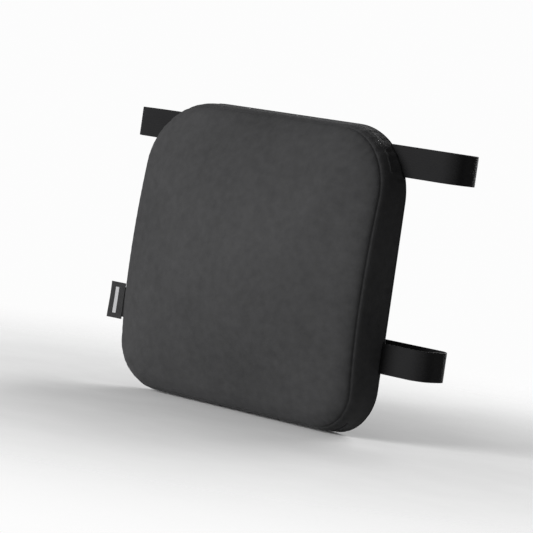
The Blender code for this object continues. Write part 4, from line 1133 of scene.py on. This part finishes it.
def zip_pull():
    """A pressed tab with a slot for the bridge, a window and gripping grooves."""
    y = SLIDER_Y + 0.0010 + GAP + 0.0007
    corners = [(-3.9, 0.7), (3.9, 0.7), (3.9, -10), (2.808, -12.2), (3.627, -21.5), (2.145, -26),
               (-2.145, -26), (-3.627, -21.5), (-2.808, -12.2), (-3.9, -10)]
    body = on_slider(corners, [1.2, 1.2, 1.5, 2, 3, 1.6, 1.6, 3, 2, 1.5], 5, span(y, 0.0007))
    cuts = [on_slider(rectangle(x, z), [0.7] * 4, 4, span(y, 0.01))
            for x, z in (((-1.7, 1.7), (-8.5, -0.7)), ((-1.2, 1.2), (-22.5, -16.5)))]
    for at in (-0.0128, -0.0140, -0.0152):
        cuts.append(block(span(ZIP_X, 0.0022), (y + 0.00045, y + 0.002), span(SLIDER_Z + at, 0.0002)))
    finish_piece(moulded("zip_pull_tab", body, (), cuts, 0.0003, 3), "zip_metal", "zip_pull", "zip_pull")


def side_label():
    """A woven label folded over and caught in the front seam, with a slight curl."""
    low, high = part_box("side_label")
    z, tip, root = (low.z + high.z) / 2, low.x, high.x + 0.0006
    front, back = span((low.y + high.y) / 2, 0.00027)
    path = rounded_path([(root, front), (tip, front), (tip, back), (root, back)], [0.00026, 0.00026], 4, 0.0012)
    made = ribbon("side_label_woven", path, z, width=high.z - low.z, thickness=0.00042, ribs=14)
    points = get_points(made.data)
    reach = (root - points[:, 0]) / (root - tip)
    points[:, 1] += -0.0014 * reach ** 2 + 0.0006 * reach * np.sin((points[:, 2] - z) / 0.02 * 1.9 + 0.6)
    set_points(made.data, points)
    finish_piece(made, "woven_label", "cushion", "side_label")


for side, word in ((-1, "side"), (1, "main")):
    zip_tape(word, side)
    zip_coil(word, side)
    ends = sorted((ZIP_X + side * 0.0004, ZIP_X + side * 0.0030))
    zip_stop("zip_top_crimp_" + word, ends, COIL_HALF + GAP, "zip_top_stop_" + word)
zip_stop("zip_bottom_crimp", span(ZIP_X, 0.0030), -COIL_HALF - GAP - 0.0028, "zip_bottom_stop")
zip_slider()
zip_pull()
side_label()


# ---- camera, floor and light ---------------------------------------------------------

PALE = (0.80, 0.80, 0.80, 1.0)
AMBIENT, BACKGROUND = 0.27, 1.22     # the world's strength for the object and for the camera


def add_placed(name, data, matrix):
    made = bpy.data.objects.new(name, data)
    made.matrix_world = matrix
    SCENE.collection.objects.link(made)
    return made


def add_camera():
    """The photograph's viewpoint and roll, turned to the object and zoomed in on it."""
    place, target = Vector((2.075, -2.342, 0.177)), Vector((0.004, -0.012, -0.004))
    photo_up = Vector((-0.2067, 0.0201, 0.9782))
    back = (place - target).normalized()
    right = photo_up.cross(back).normalized()
    turned = Matrix((right, back.cross(right), back)).transposed().to_4x4()
    camera = bpy.data.cameras.new("camera")
    camera.sensor_width, camera.lens = 36.0, 196.0
    SCENE.camera = add_placed("camera", camera, Matrix.Translation(place) @ turned)


def add_light(name, place, target, size, power):
    light = bpy.data.lights.new(name, "AREA")
    light.shape, light.size, light.energy = "DISK", size, power
    turned = (Vector(target) - Vector(place)).to_track_quat("-Z", "Y").to_matrix().to_4x4()
    add_placed(name, light, Matrix.Translation(place) @ turned)


def add_floor():
    """A pale disc under the object that thins out to the equally pale world."""
    rings = (0.02, 0.5, 1.0, 2.0, 4.0, 8.0)
    points = [(r * math.cos(a), r * math.sin(a), -HALF_HEIGHT - 0.0004)
              for r in rings for a in np.arange(96) / 96 * TURN]
    faces = grid_faces(len(rings), 96) + [tuple(range(96))]
    floor = add_object("studio_floor", mesh_from(points, faces), smooth=False)
    f = Finish("studio_floor", Roughness=0.9, Specular_IOR_Level=0.1)
    f.feed(f.shader.inputs["Base Color"], f.colour(f.noise(14.0, 4.0), (0.3, 0.59, 0.59), (0.7, 0.63, 0.63)))
    distance = f.node("VectorMath", {0: f.place()}, 1, operation="LENGTH")
    fade = f.node("MapRange", {0: distance, 1: 0.12, 2: 1.05, 3: 1.0, 4: 0.0}, interpolation_type="SMOOTHSTEP")
    f.feed(f.shader.inputs["Alpha"], fade)
    floor.data.materials.append(f.material)


def add_world():
    """A pale background that the camera sees at full strength and that lights the object softly."""
    world = bpy.data.worlds.new("studio")
    world.use_nodes = True
    tree = world.node_tree
    background = tree.nodes["Background"]
    background.inputs[0].default_value = PALE
    path = tree.nodes.new("ShaderNodeLightPath")
    strength = tree.nodes.new("ShaderNodeMapRange")
    strength.inputs[3].default_value, strength.inputs[4].default_value = AMBIENT, BACKGROUND
    tree.links.new(path.outputs[0], strength.inputs[0])
    tree.links.new(strength.outputs[0], background.inputs[1])
    SCENE.world = world
    SCENE.view_settings.view_transform = "Standard"


add_camera()
add_floor()
add_world()
add_light("key", (-0.62, -2.10, 0.45), (0, 0, 0), 1.2, 90.0)
add_light("fill", (1.6, -2.4, 0.5), (0, 0, 0), 1.6, 4.5)
add_light("rear", (-0.5, 2.35, 0.65), (0, 0.05, 0), 1.5, 85.0)
